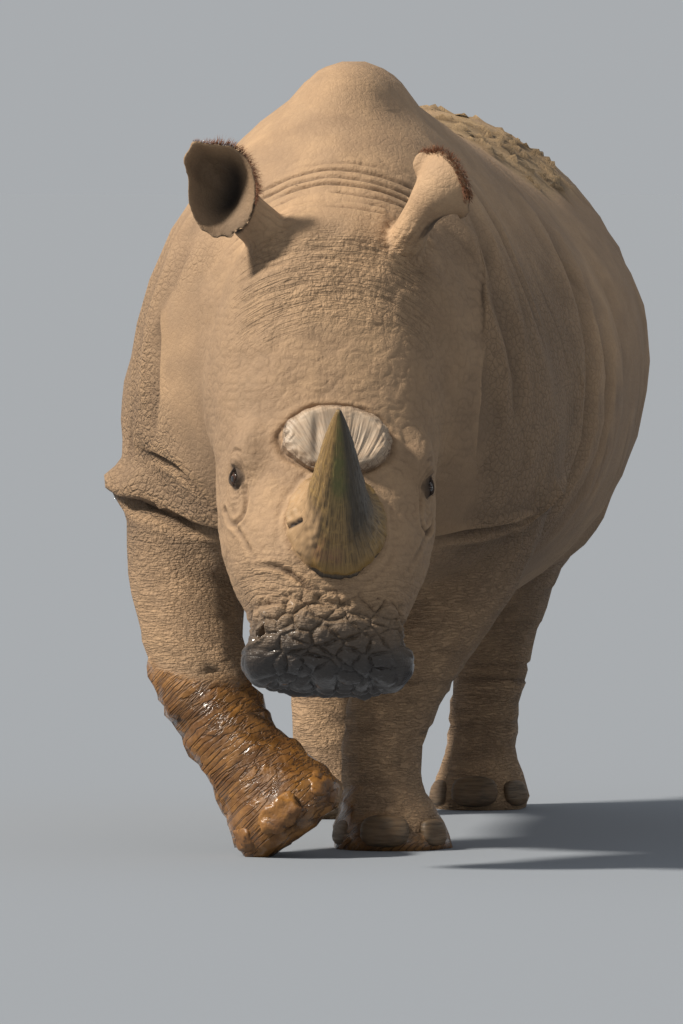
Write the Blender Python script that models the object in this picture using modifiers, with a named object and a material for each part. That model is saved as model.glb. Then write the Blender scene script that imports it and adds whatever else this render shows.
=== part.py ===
"""White rhinoceros, a still life-size model, walking with its head lowered.

Metres, +Z up. The animal faces -Y, its left side is +X, and it stands on Z = 0.
Its flesh is modelled whole, as lofts through named sections, and parted by thin
cuts into trunk, neck, head, legs and feet. Eyes, horns, ears, nails and tail are
fitted to it.
"""

import math
from collections import namedtuple

import bmesh
import bpy
import numpy as np
from mathutils import Euler, Matrix, Vector

# ---------------------------------------------------------------- driving dimensions
HUMP_HEIGHT = 1.73  # highest point, over the shoulders
BACK_HEIGHT = 1.605  # lowest part of the back
CHEST_HEIGHT = 0.56  # under the breast
BELLY_HEIGHT = 0.47  # under the middle
BARREL_HALF = 0.55  # half the width of the barrel
SHOULDER_HALF = 0.475  # half the width over the shoulders
SOLE_DEPTH = 0.02  # how far the feet run on below the floor before they are cut flat

HEAD_CREST = Vector((0.075, -0.64, 1.385))  # the top of the head, between the ears
HEAD_PITCH = math.radians(68)  # how far the face looks down
HEAD_YAW = math.radians(11)  # swung to its left
HEAD_TILT = math.radians(1.7)  # the muzzle carried towards its right
HEAD_TWIST = math.radians(3)  # the face turned about its own length, to its left

HORN_SEAT = 0.712  # crest to the middle of the front horn's base
HORN_LENGTH = 0.365
STUMP_SEAT = 0.508  # crest to the middle of the sawn rear horn
STUMP_HALF = (0.118, 0.076)  # half width and half length of the stump
STUMP_PROUD = 0.016  # how far the stump stands out of the skin
EYE_SEAT = 0.575  # crest to the eyes
EYE_RADIUS = 0.017
CUP_HALF = (0.077, 0.106)  # half width and half height of an ear's opening
EAR_WALL = 0.008
TAIL_LENGTH = 0.60

VOXEL = 0.016  # size of the cells in which the lofts melt together
FLESH_FACES = 3300  # triangles kept in the whole flesh
GAP = 0.0003  # clearance between neighbouring solids
BALL = (12, 8)  # segments and rings of small round pieces
STEPS = 6  # rings between two named ones

Ring = namedtuple(
    "Ring",
    "x y z side rise drop roof belly pitch roll",
    defaults=(2.0, 2.0, 0.0, 0.0),
)


# ---------------------------------------------------------------- scene and materials
def clear_scene():
    for obj in list(bpy.data.objects):
        bpy.data.objects.remove(obj)


def new_collection(name):
    collection = bpy.data.collections.new(name)
    bpy.context.scene.collection.children.link(collection)
    return collection


def material(name, colour, roughness, metallic=0.0):
    made = bpy.data.materials.new(name)
    made.use_nodes = True
    shader = made.node_tree.nodes["Principled BSDF"]
    shader.inputs["Base Color"].default_value = (*colour, 1.0)
    shader.inputs["Roughness"].default_value = roughness
    shader.inputs["Metallic"].default_value = metallic
    return made


# ---------------------------------------------------------------- lofts
def smooth_rings(rings, steps=STEPS):
    """Rings between the named ones: cubic Hermite curves through every value."""
    values = np.array(rings, float)
    gaps = np.linalg.norm(np.diff(values[:, :3], axis=0), axis=1)
    stops = np.concatenate([[0.0], np.cumsum(gaps)])
    slopes = np.gradient(values, stops, axis=0)
    fine = [values[:1]]
    for i in range(len(values) - 1):
        t = (np.arange(1, steps + 1) / steps)[:, None]
        reach = gaps[i]
        fine.append(
            (2 * t**3 - 3 * t**2 + 1) * values[i]
            + (t**3 - 2 * t**2 + t) * reach * slopes[i]
            + (3 * t**2 - 2 * t**3) * values[i + 1]
            + (t**3 - t**2) * reach * slopes[i + 1]
        )
    return [Ring(*row) for row in np.vstack(fine)]


def section(ring, sides):
    """A superellipse with its own exponent and half height above and below its middle."""
    angle = np.linspace(0, 2 * math.pi, sides, endpoint=False)
    across, up = np.cos(angle), np.sin(angle)
    power = np.where(up >= 0, ring.roof, ring.belly)
    height = np.where(up >= 0, ring.rise, ring.drop)
    wide = ring.side * np.sign(across) * np.abs(across) ** (2 / power)
    tall = height * np.sign(up) * np.abs(up) ** (2 / power)
    return wide, tall


def mesh_object(name, points, faces):
    mesh = bpy.data.meshes.new(name)
    mesh.from_pydata([tuple(p) for p in points], [], faces)
    mesh.update()
    obj = bpy.data.objects.new(name, mesh)
    bpy.context.scene.collection.objects.link(obj)
    bm = bmesh.new()
    bm.from_mesh(mesh)
    bmesh.ops.recalc_face_normals(bm, faces=bm.faces)
    bm.to_mesh(mesh)
    bm.free()
    return obj


def skin_rings(name, loops):
    """One closed body over a list of loops of points, with a fan at each end."""
    sides = len(loops[0])
    points = [p for loop in loops for p in loop]
    first, last = len(points), len(points) + 1
    points.append(np.mean(loops[0], axis=0))
    points.append(np.mean(loops[-1], axis=0))
    faces = []
    for k in range(len(loops) - 1):
        for i in range(sides):
            j = (i + 1) % sides
            faces.append((k * sides + i, k * sides + j, (k + 1) * sides + j, (k + 1) * sides + i))
    top = (len(loops) - 1) * sides
    for i in range(sides):
        j = (i + 1) % sides
        faces.append((first, j, i))
        faces.append((last, top + i, top + j))
    return mesh_object(name, points, faces)


def loft(name, rings, across, up, frame=None, steps=STEPS, sides=40):
    """A body through the rings. A section lies in the plane of across and up, turned
    by its ring's pitch about X and then by its roll about Y."""
    loops = []
    for ring in smooth_rings(rings, steps):
        turn = Euler((ring.pitch, ring.roll, 0)).to_matrix()
        side, top = np.array(turn @ Vector(across)), np.array(turn @ Vector(up))
        wide, tall = section(ring, sides)
        loops.append(np.array([ring.x, ring.y, ring.z]) + wide[:, None] * side + tall[:, None] * top)
    obj = skin_rings(name, loops)
    if frame is not None:
        obj.data.transform(frame)
    return obj


def swelling(name, place, radii, turn=(0, 0, 0), frame=None, fineness=(24, 16)):
    """A soft bulge: an ellipsoid, usually one that melts into the lofts."""
    mesh = bpy.data.meshes.new(name)
    bm = bmesh.new()
    bmesh.ops.create_uvsphere(bm, u_segments=fineness[0], v_segments=fineness[1], radius=1.0)
    matrix = Matrix.Translation(Vector(place)) @ Euler(turn).to_matrix().to_4x4()
    bmesh.ops.transform(bm, matrix=matrix @ Matrix.Diagonal((*radii, 1)), verts=bm.verts)
    bm.to_mesh(mesh)
    bm.free()
    obj = bpy.data.objects.new(name, mesh)
    bpy.context.scene.collection.objects.link(obj)
    if frame is not None:
        obj.data.transform(frame)
    return obj


# ---------------------------------------------------------------- the body's masses
def head_frame():
    """The head's own axes: -Y runs down the face, Z stands on it, X is its left."""
    turn = Matrix.Rotation(HEAD_YAW, 4, "Z") @ Matrix.Rotation(HEAD_TILT, 4, "Y")
    turn = turn @ Matrix.Rotation(HEAD_PITCH, 4, "X") @ Matrix.Rotation(HEAD_TWIST, 4, "Y")
    return Matrix.Translation(HEAD_CREST) @ turn


def rib(y, top, low, side, x=0.0, wide_at=0.45, roof=1.7, belly=2.3):
    """An upright section of the trunk, given by its top, its underside and where it is widest."""
    middle = low + (top - low) * wide_at
    return Ring(x, y, middle, side, top - middle, middle - low, roof, belly)


def trunk():
    """Neck, shoulders, barrel and rump, in upright sections from front to back."""
    rings = [
        rib(-0.64, 1.33, 0.92, 0.17, 0.075, 0.50, 2.0, 2.0),
        rib(-0.56, 1.42, 0.80, 0.255, 0.065, 0.48, 1.9, 2.0),
        rib(-0.46, 1.51, 0.69, 0.325, 0.045, 0.44, 1.8, 2.1),
        rib(-0.34, 1.61, 0.61, 0.405, 0.025, 0.42, 1.75, 2.2),
        rib(-0.18, 1.675, CHEST_HEIGHT, 0.465, 0.01, 0.40, 1.65, 2.3),
        rib(-0.02, 1.70, CHEST_HEIGHT, SHOULDER_HALF, 0.005, 0.39, 1.6, 2.4),
        rib(0.16, 1.685, 0.55, 0.495, 0.005, 0.41, 1.65, 2.4),
        rib(0.38, 1.635, 0.52, 0.525, 0.01, 0.46, 1.7, 2.3),
        rib(0.65, BACK_HEIGHT, 0.485, 0.545, 0.01, 0.50, 1.75, 2.1),
        rib(0.92, 1.615, BELLY_HEIGHT, BARREL_HALF, 0.01, 0.53, 1.75, 2.05),
        rib(1.15, 1.635, 0.50, 0.535, 0.0, 0.52, 1.8, 2.1),
        rib(1.36, 1.620, 0.60, 0.485, -0.015, 0.50, 1.8, 2.2),
        rib(1.53, 1.56, 0.72, 0.415, -0.03, 0.46, 1.8, 2.2),
        rib(1.66, 1.46, 0.84, 0.32, -0.035, 0.46, 1.9, 2.2),
        rib(1.74, 1.33, 0.96, 0.19, -0.035, 0.48, 2.0, 2.2),
    ]
    return loft("trunk_mass", rings, (1, 0, 0), (0, 0, 1))


def head(frame):
    """Sections down the face, from the crest to the lips, in the head's own axes."""
    rings = [
        Ring(0, 0.06, -0.18, 0.140, 0.12, 0.12),
        Ring(0, 0.00, -0.18, 0.185, 0.175, 0.17, 2.2, 2.2),
        Ring(0, -0.10, -0.20, 0.225, 0.210, 0.22, 2.4, 2.2),
        Ring(0, -0.24, -0.22, 0.252, 0.228, 0.23, 2.5, 2.2),
        Ring(0, -0.38, -0.21, 0.248, 0.215, 0.22, 2.5, 2.3),
        Ring(0, -0.52, -0.20, 0.236, 0.205, 0.20, 2.4, 2.4),
        Ring(0, -0.62, -0.185, 0.234, 0.205, 0.18, 2.2, 2.5),
        Ring(0, -0.72, -0.165, 0.222, 0.200, 0.15, 2.2, 2.6),
        Ring(0, -0.80, -0.145, 0.196, 0.170, 0.14, 2.4, 2.8),
        Ring(0, -0.87, -0.135, 0.160, 0.140, 0.13, 2.8, 3.0),
        Ring(0, -0.93, -0.135, 0.165, 0.130, 0.125, 3.0, 3.0),
        Ring(0, -0.985, -0.140, 0.160, 0.105, 0.11, 3.0, 3.0),
        Ring(0, -1.02, -0.145, 0.125, 0.065, 0.07, 2.6, 2.6),
    ]
    masses = [loft("head_mass", rings, (1, 0, 0), (0, 0, 1), frame)]
    for side in (-1, 1):
        masses += [
            swelling("brow", (side * 0.175, -0.52, -0.070), (0.047, 0.07, 0.055), (0, 0, 0), frame),
            swelling("cheek", (side * 0.180, -0.30, -0.26), (0.085, 0.18, 0.14), (0, 0, 0), frame),
            swelling("nostril", (side * 0.120, -0.855, -0.085), (0.044, 0.055, 0.05), (0, 0, 0), frame),
            swelling("lip", (side * 0.134, -0.950, -0.140), (0.050, 0.052, 0.07), (0, 0, 0), frame),
        ]
    return masses


def level(x, y, z, side, fore, aft, pitch=0.0, roll=0.0):
    """A cross section of a leg; level unless it is turned with a slanting leg."""
    return Ring(x, y, z, side, fore, aft, 2.2, 2.2, pitch, roll)


def legs():
    """Left fore straight under the body, right fore stepping, hind legs in stride."""
    left_fore = [
        level(0.260, 0.06, 1.05, 0.11, 0.18, 0.18),
        level(0.290, 0.06, 0.88, 0.150, 0.23, 0.22),
        level(0.270, 0.06, 0.70, 0.160, 0.20, 0.19),
        level(0.235, 0.04, 0.58, 0.148, 0.155, 0.15),
        level(0.175, 0.015, 0.45, 0.125, 0.130, 0.125),
        level(0.120, 0.00, 0.345, 0.112, 0.120, 0.115),
        level(0.085, -0.01, 0.22, 0.092, 0.098, 0.095),
        level(0.088, -0.02, 0.13, 0.092, 0.100, 0.100),
        level(0.104, -0.035, 0.065, 0.118, 0.128, 0.120),
        level(0.112, -0.040, 0.02, 0.130, 0.140, 0.130),
        level(0.112, -0.040, -SOLE_DEPTH, 0.126, 0.136, 0.126),
    ]
    right_fore = [
        level(-0.260, 0.00, 1.05, 0.11, 0.18, 0.18),
        level(-0.310, -0.04, 0.88, 0.150, 0.22, 0.22),
        level(-0.322, -0.10, 0.70, 0.148, 0.18, 0.18),
        level(-0.325, -0.17, 0.58, 0.128, 0.145, 0.14),
        level(-0.300, -0.24, 0.46, 0.112, 0.125, 0.12),
        level(-0.262, -0.29, 0.345, 0.102, 0.115, 0.110, 0.0, -0.30),
        level(-0.196, -0.32, 0.250, 0.096, 0.100, 0.095, 0.05, -0.54),
        level(-0.138, -0.34, 0.172, 0.106, 0.108, 0.105, 0.10, -0.62),
        level(-0.090, -0.35, 0.110, 0.130, 0.132, 0.120, 0.15, -0.64),
        level(-0.064, -0.347, 0.076, 0.135, 0.137, 0.122, 0.15, -0.64),
        level(-0.050, -0.345, 0.058, 0.118, 0.120, 0.108, 0.15, -0.64),
    ]
    left_hind = [
        level(0.150, 1.32, 1.20, 0.18, 0.24, 0.24),
        level(0.200, 1.34, 1.02, 0.220, 0.32, 0.32),
        level(0.225, 1.36, 0.84, 0.205, 0.32, 0.31),
        level(0.215, 1.41, 0.67, 0.160, 0.25, 0.235),
        level(0.170, 1.50, 0.54, 0.118, 0.170, 0.165),
        level(0.140, 1.580, 0.43, 0.100, 0.122, 0.138),
        level(0.118, 1.600, 0.32, 0.088, 0.098, 0.108),
        level(0.102, 1.595, 0.20, 0.082, 0.092, 0.095),
        level(0.097, 1.58, 0.12, 0.088, 0.098, 0.098),
        level(0.100, 1.565, 0.06, 0.108, 0.122, 0.112),
        level(0.102, 1.56, 0.02, 0.116, 0.132, 0.118),
        level(0.102, 1.56, -SOLE_DEPTH, 0.112, 0.128, 0.114),
    ]
    right_hind = [
        level(-0.190, 1.30, 1.20, 0.18, 0.24, 0.24),
        level(-0.250, 1.28, 1.02, 0.220, 0.32, 0.33),
        level(-0.280, 1.25, 0.84, 0.205, 0.31, 0.33),
        level(-0.270, 1.22, 0.67, 0.160, 0.235, 0.245),
        level(-0.245, 1.24, 0.54, 0.120, 0.170, 0.170),
        level(-0.230, 1.275, 0.43, 0.100, 0.125, 0.138),
        level(-0.220, 1.255, 0.32, 0.088, 0.100, 0.108),
        level(-0.210, 1.215, 0.20, 0.082, 0.092, 0.095),
        level(-0.203, 1.19, 0.12, 0.088, 0.098, 0.098),
        level(-0.198, 1.17, 0.06, 0.108, 0.122, 0.112),
        level(-0.198, 1.16, 0.02, 0.116, 0.132, 0.118),
        level(-0.198, 1.16, -SOLE_DEPTH, 0.112, 0.128, 0.114),
    ]
    named = {"left_fore": left_fore, "right_fore": right_fore, "left_hind": left_hind, "right_hind": right_hind}
    return [loft(name, rings, (1, 0, 0), (0, -1, 0)) for name, rings in named.items()]


def bulges():
    """Muscle, bone and folds that show under the skin."""
    made = [
        swelling("hump", (0.022, -0.03, HUMP_HEIGHT - 0.15), (0.145, 0.30, 0.155)),
        swelling("fold_ledge", (-0.40, -0.05, 0.80), (0.120, 0.21, 0.06)),
        swelling("fold_ledge", (0.37, 0.02, 0.79), (0.115, 0.21, 0.06)),
    ]
    for side in (-1, 1):
        made += [
            swelling("shoulder", (side * 0.31, 0.0, 0.95), (0.185, 0.30, 0.27)),
            swelling("hip", (side * 0.22 - 0.02, 1.25, 1.26), (0.20, 0.28, 0.27)),
            swelling("flank", (side * 0.30 - 0.01, 1.05, 0.78), (0.17, 0.26, 0.20)),
            swelling("haunch", (side * 0.235 - 0.02, 1.34 + side * 0.03, 0.98), (0.21, 0.34, 0.31)),
        ]
    return made


# ---------------------------------------------------------------- making one body and cutting it
def apply_modifiers(obj):
    bpy.context.view_layer.update()
    graph = bpy.context.evaluated_depsgraph_get()
    mesh = bpy.data.meshes.new_from_object(obj.evaluated_get(graph))
    obj.modifiers.clear()
    old = obj.data
    obj.data = mesh
    bpy.data.meshes.remove(old)
    mesh.name = obj.name


def melt(masses):
    """The masses as one soft body: a voxel remesh, smoothing and fewer triangles."""
    flesh = masses[0]
    with bpy.context.temp_override(
        active_object=flesh, selected_editable_objects=masses, selected_objects=masses
    ):
        bpy.ops.object.join()
    flesh.name = "flesh"
    remesh = flesh.modifiers.new("Remesh", "REMESH")
    remesh.mode = "VOXEL"
    remesh.voxel_size = VOXEL
    smooth = flesh.modifiers.new("Smooth", "SMOOTH")
    smooth.factor = 0.5
    smooth.iterations = 14
    apply_modifiers(flesh)
    decimate = flesh.modifiers.new("Decimate", "DECIMATE")
    decimate.ratio = FLESH_FACES / (2 * len(flesh.data.polygons))
    decimate.use_collapse_triangulate = True
    apply_modifiers(flesh)
    return flesh


def stand_flat(obj):
    """The soles: everything below the floor is cut off, and the cut is filled."""
    bm = bmesh.new()
    bm.from_mesh(obj.data)
    geometry = bm.verts[:] + bm.edges[:] + bm.faces[:]
    cut = bmesh.ops.bisect_plane(
        bm, geom=geometry, plane_co=(0, 0, 0), plane_no=(0, 0, -1), clear_outer=True
    )
    rim = [e for e in cut["geom_cut"] if isinstance(e, bmesh.types.BMEdge)]
    bmesh.ops.triangle_fill(bm, edges=rim, use_beauty=True, use_dissolve=False)
    bmesh.ops.recalc_face_normals(bm, faces=bm.faces)
    bm.to_mesh(obj.data)
    bm.free()


def copy_of(obj, name):
    made = bpy.data.objects.new(name, obj.data.copy())
    bpy.context.scene.collection.objects.link(made)
    return made


def grown(obj, by):
    """A copy whose surface stands out by the clearance, to cut neighbours with."""
    made = copy_of(obj, obj.name + "_grown")
    displace = made.modifiers.new("Displace", "DISPLACE")
    displace.mid_level = 0.0
    displace.strength = by
    apply_modifiers(made)
    return made


def box(name, frame, low, high, margin=0.0):
    """A box between two corners in its own frame, larger by the margin on each side."""
    mesh = bpy.data.meshes.new(name)
    bm = bmesh.new()
    bmesh.ops.create_cube(bm, size=1.0)
    low, high = Vector(low) - Vector((margin,) * 3), Vector(high) + Vector((margin,) * 3)
    place = Matrix.Translation((low + high) / 2) @ Matrix.Diagonal((*(high - low), 1))
    bmesh.ops.transform(bm, matrix=frame @ place, verts=bm.verts)
    bm.to_mesh(mesh)
    bm.free()
    obj = bpy.data.objects.new(name, mesh)
    bpy.context.scene.collection.objects.link(obj)
    return obj


def boolean(obj, cutter, operation):
    modifier = obj.modifiers.new("Boolean", "BOOLEAN")
    modifier.operation = operation
    modifier.object = cutter
    apply_modifiers(obj)


def part_off(body, name, frame, low, high):
    """The share of the body inside a box becomes a piece of its own, a thin gap apart."""
    inner = box("inner", frame, low, high, -GAP / 2)
    outer = box("outer", frame, low, high, GAP / 2)
    piece = copy_of(body, name)
    boolean(piece, inner, "INTERSECT")
    boolean(body, outer, "DIFFERENCE")
    bpy.data.objects.remove(inner)
    bpy.data.objects.remove(outer)
    return piece


# ---------------------------------------------------------------- fitted pieces
def front_horn(frame):
    """A curved cone; its foot flares, and it leans back towards the brow as it rises."""
    profile = [(-0.24, 0.098), (-0.03, 0.107), (0.06, 0.100), (0.16, 0.080), (0.30, 0.066),
               (0.46, 0.055), (0.62, 0.044), (0.78, 0.031), (0.91, 0.018), (1.0, 0.006)]
    lean_start, lean_end, sideways = math.radians(4), math.radians(34), 0.034
    last = profile[0][0]
    y, z = -HORN_SEAT, 0.022 + last * HORN_LENGTH
    rings = []
    for share, radius in profile:
        up = max(share, 0.0)
        lean = lean_start + (lean_end - lean_start) * up
        y += math.sin(lean) * HORN_LENGTH * (share - last)
        z += math.cos(lean) * HORN_LENGTH * (share - last)
        last = share
        long = radius * (1.12 - 0.12 * up)
        rings.append(Ring(-sideways * up, y, z, radius, long, long, 2, 2, -lean))
    return loft("horn_front", rings, (1, 0, 0), (0, 1, 0), frame, 2, 16)


def rear_stump(frame):
    """What the saw left of the rear horn: a low oval plate with a rounded rim."""
    wide, long = STUMP_HALF
    top = 0.012 + STUMP_PROUD
    rings = [
        Ring(0, -STUMP_SEAT, -0.05, wide, long, long),
        Ring(0, -STUMP_SEAT, top - 0.012, wide, long, long),
        Ring(0, -STUMP_SEAT, top - 0.003, wide * 0.96, long * 0.95, long * 0.95),
        Ring(0, -STUMP_SEAT, top, wide * 0.88, long * 0.86, long * 0.86),
    ]
    return loft("horn_rear_stump", rings, (1, 0, 0), (0, 1, 0), frame, 1, 24)


def ear(name, middle, root, turn, cup_depth):
    """A cup on a stalk. Its rim is an oval with a corner for the tip; the outside narrows
    from the rim to the stalk, and the inside to the bottom of the cup."""
    sides = 18
    angle = np.linspace(0, 2 * math.pi, sides, endpoint=False)
    wide, tall = CUP_HALF
    rim = 1 / np.sqrt((np.cos(angle) / wide) ** 2 + (np.sin(angle) / tall) ** 2)
    tip_at, tip_spread, tip_length = math.radians(52), 0.30, 0.043
    rim += tip_length * np.exp(-(((angle - tip_at) / tip_spread) ** 2))
    stalk_waist, stalk_spread, cup_end = 0.028, 0.028, 0.42
    middle, root = Vector(middle), Vector(root)
    inward = turn @ Vector((0, 1, 0))
    knee = middle + inward * cup_depth

    def loop(share, size, narrowed):
        """share runs from the rim to the root, and narrowed from the rim's outline to the stalk's."""
        centre = middle * (1 - share) ** 2 + knee * 2 * share * (1 - share) + root * share**2
        along = (knee - middle) * (1 - share) + (root - knee) * share
        square = inward.rotation_difference(along).to_matrix() @ turn
        reach = rim * (1 - narrowed) * size + (stalk_waist + stalk_spread * share) * narrowed
        return np.array([
            tuple(centre + square @ Vector((r * math.cos(a), 0, r * math.sin(a))))
            for r, a in zip(reach, angle)
        ])

    outside = [
        loop(share, 1.0 - 0.25 * share, min(1.0, share * 1.6)) for share in np.linspace(1, 0, 8)
    ]
    inside = []
    for share in np.linspace(0.0, cup_end, 5):
        open_share = 1 - share / (cup_end + 0.04)
        size = (1 - EAR_WALL / tall) * (1 - (1 - open_share) ** 2.2) * (1.0 - 0.25 * share)
        inside.append(loop(share * 0.86, size, min(1.0, share * 1.1) * open_share))
    return skin_rings(name, outside + inside)


def axes_of(inward, tall):
    """The turn that brings Y to inward and Z as near as it can to tall."""
    inward = Vector(inward).normalized()
    across = inward.cross(Vector(tall)).normalized()
    return Matrix((across, inward, across.cross(inward))).transposed()


def tail():
    """It hangs from the rump, thin and flattened, and widens where its tuft grows."""
    x, y, z = -0.035, 1.70, 1.33
    shape = [(0.0, 0.045), (0.12, 0.036), (0.30, 0.026), (0.50, 0.021), (0.68, 0.019),
             (0.78, 0.024), (0.88, 0.026), (0.96, 0.018), (1.0, 0.006)]
    rings = []
    for share, radius in shape:
        back = y + 0.115 * min(1.0, share * 5) ** 0.7
        flat = radius * 0.8
        rings.append(Ring(x + 0.02 * share, back, z - TAIL_LENGTH * share, radius, flat, flat))
    return loft("tail", rings, (1, 0, 0), (0, -1, 0), None, 1, 12)


def toenails(foot, frame, reach):
    """Three broad nails round the front of a foot: one ahead and one at each side."""
    side, fore = reach
    inset, thick, slope = 0.010, 0.016, math.radians(-14)
    made = []
    for label, angle, half_width, half_height in (
        ("right", -0.98, 0.036, 0.030), ("middle", 0.0, 0.054, 0.036), ("left", 0.98, 0.036, 0.030)
    ):
        place = (math.sin(angle) * (side - inset), -math.cos(angle) * (fore - inset), 0.008 + half_height)
        radii = (half_width, thick, half_height)
        name = f"nail_{foot}_{label}"
        made.append(swelling(name, place, radii, (slope, 0, angle), frame, (10, 6)))
    return made


# ---------------------------------------------------------------- the finished animal
FEET = {
    "fore_left": (Matrix.Translation((0.112, -0.040, 0)), (0.130, 0.140)),
    "hind_left": (Matrix.Translation((0.102, 1.56, 0)), (0.116, 0.132)),
    "hind_right": (Matrix.Translation((-0.198, 1.16, 0)), (0.116, 0.132)),
    "fore_right": (
        Matrix.Translation((-0.062, -0.346, 0.076)) @ Euler((0.15, -0.64, 0)).to_matrix().to_4x4(),
        (0.132, 0.136),
    ),
}

# Boxes that part the legs from the trunk, each with its own frame and two corners.
LEVEL = Matrix.Identity(4)
WRIST = Matrix.Translation((-0.262, -0.29, 0.35)) @ Euler((0.03, -0.35, 0)).to_matrix().to_4x4()
LEG_CUTS = {
    "forefoot_left": (LEVEL, (-0.05, -0.22, -0.05), (0.28, 0.16, 0.335)),
    "foreleg_left": (LEVEL, (-0.03, -0.48, 0.30), (0.70, 0.28, 0.70)),
    "forefoot_right": (WRIST, (-0.25, -0.20, -0.44), (0.40, 0.22, 0.0)),
    "foreleg_right": (LEVEL, (-0.70, -0.48, 0.20), (-0.11, 0.16, 0.70)),
    "hindfoot_left": (LEVEL, (-0.06, 1.35, -0.05), (0.30, 1.80, 0.40)),
    "hindleg_left": (LEVEL, (0.00, 1.10, 0.30), (0.70, 1.90, 0.80)),
    "hindfoot_right": (LEVEL, (-0.35, 0.95, -0.05), (-0.06, 1.45, 0.40)),
    "hindleg_right": (LEVEL, (-0.75, 0.92, 0.30), (-0.07, 1.64, 0.80)),
}

# Skin, horn, nail and eye: linear colour and roughness.
FINISHES = {
    "eye": ((0.020, 0.012, 0.008), 0.12),
    "horn": ((0.150, 0.110, 0.050), 0.55),
    "nail": ((0.130, 0.090, 0.055), 0.55),
    "ear": ((0.240, 0.160, 0.105), 0.80),
    "skin": ((0.330, 0.235, 0.150), 0.80),
}


def finish_of(name):
    for kind, (colour, roughness) in FINISHES.items():
        if name.startswith(kind) or kind == "skin":
            return material(name, colour, roughness)


def settle(obj, name, collection, root):
    """Name, material, collection and parent; the object's origin goes to its middle."""
    obj.name = name
    obj.data.name = name
    obj.data.materials.clear()
    obj.data.materials.append(finish_of(name))
    low, high = extent([obj])
    obj.data.transform(Matrix.Translation(-(low + high) / 2))
    obj.location = (low + high) / 2
    obj.parent = root
    for home in list(obj.users_collection):
        home.objects.unlink(obj)
    collection.objects.link(obj)
    obj.data.shade_smooth()
    obj.data.set_sharp_from_angle(angle=math.radians(40))


def extent(objects):
    points = [v.co for obj in objects for v in obj.data.vertices]
    low = Vector(min(p[i] for p in points) for i in range(3))
    high = Vector(max(p[i] for p in points) for i in range(3))
    return low, high


def build():
    clear_scene()
    frame = head_frame()
    flesh = melt([trunk()] + head(frame) + legs() + bulges())
    stand_flat(flesh)
    flesh_grown = grown(flesh, GAP)

    eyes = []
    for label, side in (("right", -1), ("left", 1)):
        place = (side * 0.197, -EYE_SEAT, -0.078)
        eyes.append(swelling("eye_" + label, place, (EYE_RADIUS,) * 3, (0, 0, 0), frame, BALL))
        socket = swelling("socket", place, (EYE_RADIUS + GAP,) * 3, (0, 0, 0), frame, BALL)
        boolean(flesh, socket, "DIFFERENCE")
        bpy.data.objects.remove(socket)

    fitted = [front_horn(frame), rear_stump(frame), tail()]
    pricked = Matrix.Rotation(math.radians(8), 3, "Z") @ Matrix.Diagonal((-1, 1, 1))
    fitted.append(ear("ear_right", (-0.165, -0.72, 1.445), (-0.05, -0.58, 1.32), pricked, 0.105))
    laid_back = axes_of(inward=(-0.75, -0.58, -0.32), tall=(-0.15, 0.0, 0.95))
    laid_back = laid_back @ Matrix.Diagonal((1, 1, 0.78))
    fitted.append(ear("ear_left", (0.320, -0.65, 1.460), (0.205, -0.555, 1.318), laid_back, 0.070))
    for foot, (foot_frame, reach) in FEET.items():
        fitted += toenails(foot, foot_frame, reach)
    for piece in fitted:
        boolean(piece, flesh_grown, "DIFFERENCE")
    bpy.data.objects.remove(flesh_grown)

    pieces = [part_off(flesh, name, *cut) for name, cut in LEG_CUTS.items()]
    behind_jaw = frame @ Matrix.Rotation(math.radians(-44), 4, "X")
    pieces.append(part_off(flesh, "head", behind_jaw, (-0.6, -1.4, -1.05), (0.6, 0.0, 0.4)))
    neck_base = Matrix.Translation((0, -0.17, 1.2)) @ Matrix.Rotation(math.radians(-16), 4, "X")
    pieces.append(part_off(flesh, "neck", neck_base, (-0.8, -0.9, -0.8), (0.8, 0.0, 0.8)))
    flesh.name = "trunk"

    everything = pieces + fitted + eyes + [flesh]
    low, high = extent(everything)
    root = bpy.data.objects.new("stance", None)
    parts = new_collection("white_rhinoceros")
    parts.objects.link(root)
    root.location = (-(low.x + high.x) / 2, -(low.y + high.y) / 2, -low.z)
    for obj in everything:
        settle(obj, obj.name, parts, root)


build()
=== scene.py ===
# %% [markdown]
# # A white rhinoceros, still and life-size
# The animal walks with its head lowered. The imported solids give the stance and
# every outline. This lesson grows one skin over them, cuts folds and wrinkles
# into it, and adds eyes, horns, nails and the little hair a rhinoceros has.
# Metres; +Z is up; the animal faces -Y, and its left side is +X.

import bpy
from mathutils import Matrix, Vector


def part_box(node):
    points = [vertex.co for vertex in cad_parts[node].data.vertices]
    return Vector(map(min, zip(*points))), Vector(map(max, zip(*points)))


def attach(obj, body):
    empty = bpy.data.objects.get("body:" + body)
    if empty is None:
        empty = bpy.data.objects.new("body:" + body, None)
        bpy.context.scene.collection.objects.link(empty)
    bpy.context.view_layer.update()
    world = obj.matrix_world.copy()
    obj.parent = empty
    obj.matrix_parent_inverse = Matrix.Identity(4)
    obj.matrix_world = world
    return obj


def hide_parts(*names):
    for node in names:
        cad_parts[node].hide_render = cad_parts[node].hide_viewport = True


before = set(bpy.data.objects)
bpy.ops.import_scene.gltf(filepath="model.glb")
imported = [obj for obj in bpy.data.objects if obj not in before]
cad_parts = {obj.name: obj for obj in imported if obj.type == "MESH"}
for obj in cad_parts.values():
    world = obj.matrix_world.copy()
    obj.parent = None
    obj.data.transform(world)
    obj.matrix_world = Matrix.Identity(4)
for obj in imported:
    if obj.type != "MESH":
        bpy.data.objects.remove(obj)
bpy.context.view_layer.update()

# %% Tools of the lesson
import math
from itertools import product

import bmesh
import bpy
import numpy as np
from mathutils import Euler, Matrix, Vector

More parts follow.
